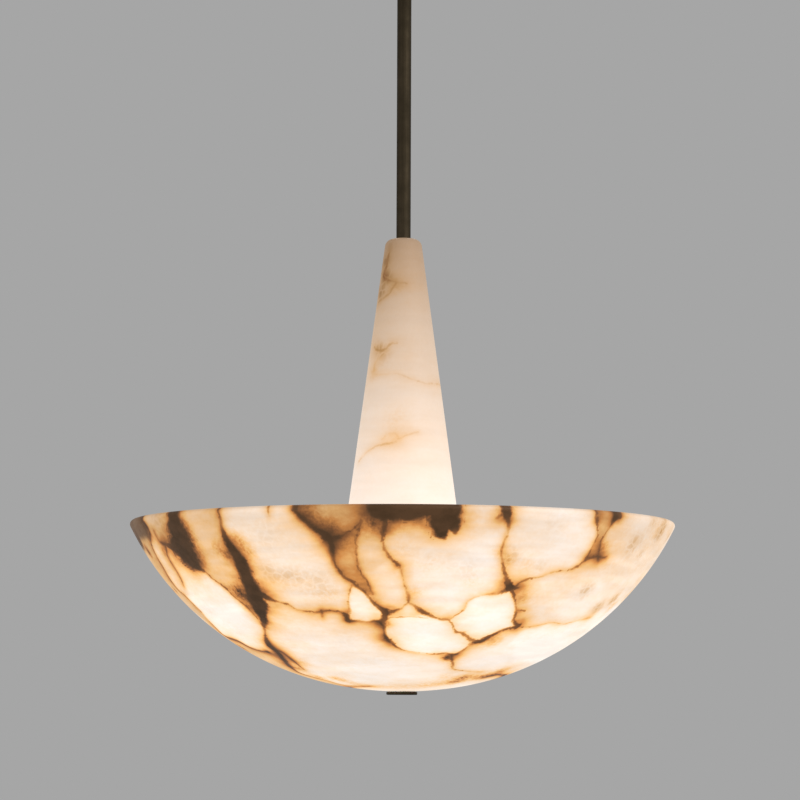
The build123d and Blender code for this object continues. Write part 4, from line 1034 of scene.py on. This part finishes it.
def threaded_tube(material):
    """The tie rod, a tube cut below the thread's crests, with a helical ridge along it."""
    low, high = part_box("threaded_tube")
    root = TUBE_RADIUS - THREAD_DEPTH
    corners = [(TUBE_BORE_RADIUS, low.z), (root, low.z), (root, high.z), (TUBE_BORE_RADIUS, high.z)]
    outline = rounded_loop(corners, [TUBE_END_ROUND] * 4, TUBE_ROUND_POINTS)
    core = lathe("tube_core", outline, full_turn(TUBE_COLUMNS))
    ridge = 0.5 * THREAD_PITCH
    length = high.z - low.z - 2 * ridge
    tube = from_nodes("threaded_tie_rod", thread_group(), core.data, material, Length=length,
                      Turns=length / THREAD_PITCH, Radius=TUBE_RADIUS - ridge, Ridge=ridge,
                      Start=(0.0, 0.0, low.z + ridge))
    bpy.data.objects.remove(core)
    finish_piece(tube, "pendant", "brass", material, "threaded_tube")


def stack(points, faces, rings):
    """Adds a solid to lists of points and faces, from rings of points one above the other."""
    start, count = len(points), len(rings[0])
    points += [point for ring in rings for point in ring]
    top = len(points) - count
    for below in range(start, top, count):
        for step in range(count):
            ahead = (step + 1) % count
            faces.append((below + step, below + ahead, below + count + ahead, below + count + step))
    faces.append(range(top, top + count))
    faces.append(range(start + count - 1, start - 1, -1))


def slotted_head(radius, height):
    """A slotted screw head on its own axis: a rounded disc in two halves above a whole floor."""
    edge = math.pi / 2 - math.asin(SLOT_HALF / radius)
    turns = np.linspace(-edge, edge, HEAD_POINTS)

    def ring(side, share, level):
        """Points round one half, cut off along the slot."""
        reach = side * radius * share
        return [(side * max(side * reach * math.cos(turn), SLOT_HALF), reach * math.sin(turn), height * level)
                for turn in turns]

    points, faces = [], []
    for side in (1, -1):
        stack(points, faces, [ring(side, share, level) for share, level in HEAD_LEVELS])
    reach = HEAD_FLOOR_SHARE * radius
    stack(points, faces, [
        [(reach * math.cos(turn), reach * math.sin(turn), level) for turn in full_turn(HEAD_FLOOR_POINTS)]
        for level in (0.0, height * HEAD_FLOOR_LEVEL)])
    mesh = bpy.data.meshes.new("slotted_head")
    mesh.from_pydata(points, [], faces)
    return mesh


def combined(group, parts):
    """A direction from its parts."""
    return make(group, "ShaderNodeCombineXYZ", parts).outputs[0]


def round_group():
    """Copies of a mesh round the Z axis, each lying along its radius."""
    floats = dict.fromkeys(("Radius", "Height", "Turn"), "NodeSocketFloat")
    group, given, result = new_group("round", {"Count": "NodeSocketInt"} | floats)
    circle = shape_of(group, "MeshCircle", {"Vertices": given["Count"], "Radius": given["Radius"]})
    step = math_of(group, "DIVIDE", 2 * math.pi, given["Count"])
    index = shape_of(group, "InputIndex", {})
    spin = combined(group, {"Y": math.pi / 2, "Z": product(group, index, step)})
    copies = {"Points": circle, "Instance": given["Geometry"], "Rotation": spin}
    placed = shape_of(group, "Transform", {
        "Geometry": shape_of(group, "InstanceOnPoints", copies),
        "Translation": combined(group, {"Z": given["Height"]}),
        "Rotation": combined(group, {"Z": given["Turn"]})})
    close_group(group, given, result, placed)
    return group


def canopy_screws(material):
    """The three slotted screws in the canopy's side."""
    low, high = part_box("canopy_screws")
    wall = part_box("canopy")[1].x
    head = slotted_head((high.z - low.z) / 2, -low.y - wall)
    screws = from_nodes("slotted_canopy_screws", round_group(), head, material, Count=SCREW_COUNT,
                        Radius=wall, Height=(low.z + high.z) / 2, Turn=SCREW_TURN)
    screws.data.set_sharp_from_angle(angle=HEAD_SHARP_ANGLE)
    finish_piece(screws, "ceiling", "bronze", material, "canopy_screws")


def dress_nodes(materials):
    """Gives every solid that stays the material of its slot."""
    for part in frame["record"]["subparts"]:
        for slot in frame["nodes"][part["node"]].material_slots:
            slot.material = materials[part["material_slot"]]


# Studio

def backdrop(tree, seen, other):
    """One shader for what the camera, gloss and glass see, and another for the light."""
    path = make(tree, "ShaderNodeLightPath").outputs
    any_ray = math_of(tree, "MAXIMUM", path["Is Camera Ray"], path["Is Glossy Ray"])
    any_ray = math_of(tree, "MAXIMUM", any_ray, path["Is Transmission Ray"])
    return make(tree, "ShaderNodeMixShader", {0: any_ray, 1: other, 2: seen}).outputs[0]


def studio_world():
    """A plain grey backdrop and an even soft light."""
    world = bpy.data.worlds.new("studio")
    world.use_nodes = True
    tree = world.node_tree
    tree.nodes.clear()
    grey = linear(*[BACKDROP_GREY] * 3)
    seen = make(tree, "ShaderNodeBackground", {"Color": grey, "Strength": 1.0}).outputs[0]
    white = {"Color": (1, 1, 1, 1), "Strength": AMBIENT_STRENGTH}
    other = make(tree, "ShaderNodeBackground", white).outputs[0]
    make(tree, "ShaderNodeOutputWorld", {"Surface": backdrop(tree, seen, other)})
    bpy.context.scene.world = world


def floor():
    """The pale round floor of the studio, far below."""
    mesh = bpy.data.meshes.new("floor")
    turns = full_turn(FLOOR_SIDES)
    rim = [(FLOOR_RADIUS * math.cos(turn), FLOOR_RADIUS * math.sin(turn), FLOOR_Z) for turn in turns]
    mesh.from_pydata(rim, [], [range(FLOOR_SIDES)])
    made = add_object("floor", mesh)
    material, tree, shader = new_material("pale_floor", Roughness=0.8)
    shade = two_tone(tree, noise(tree, 3), (234, 234, 233), (238, 238, 237))
    join(tree, shader, Base_Color=shade)
    mesh.materials.append(material)


def softbox(name, place, size, power):
    """A square soft light that faces the pendant."""
    data = bpy.data.lights.new(name, "AREA")
    data.size = size
    data.energy = power
    lamp = add_object(name, data)
    lamp.location = place
    lamp.rotation_euler = (LIGHT_AIM - Vector(place)).to_track_quat("-Z", "Y").to_euler()


def camera():
    """The camera of the photograph."""
    data = bpy.data.cameras.new("camera")
    data.sensor_width = SENSOR_WIDTH
    data.lens = FOCAL_PIXELS / PICTURE_SIZE * SENSOR_WIDTH
    made = add_object("camera", data)
    made.matrix_world = Matrix.Translation(CAMERA_PLACE) @ CAMERA_TURN.to_4x4()
    bpy.context.scene.camera = made


def main():
    """Sets up the studio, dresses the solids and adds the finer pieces."""
    bpy.context.scene.view_settings.view_transform = "Standard"
    camera()
    studio_world()
    floor()
    for name, (place, size, power) in LIGHTS.items():
        softbox(name, place, size, power)
    materials = finishes()
    dress_nodes(materials)
    bowl_piece(materials["alabaster"])
    cone_piece(materials["alabaster"])
    seals(materials["silicone"])
    threaded_tube(materials["brass"])
    canopy_screws(materials["bronze"])


main()
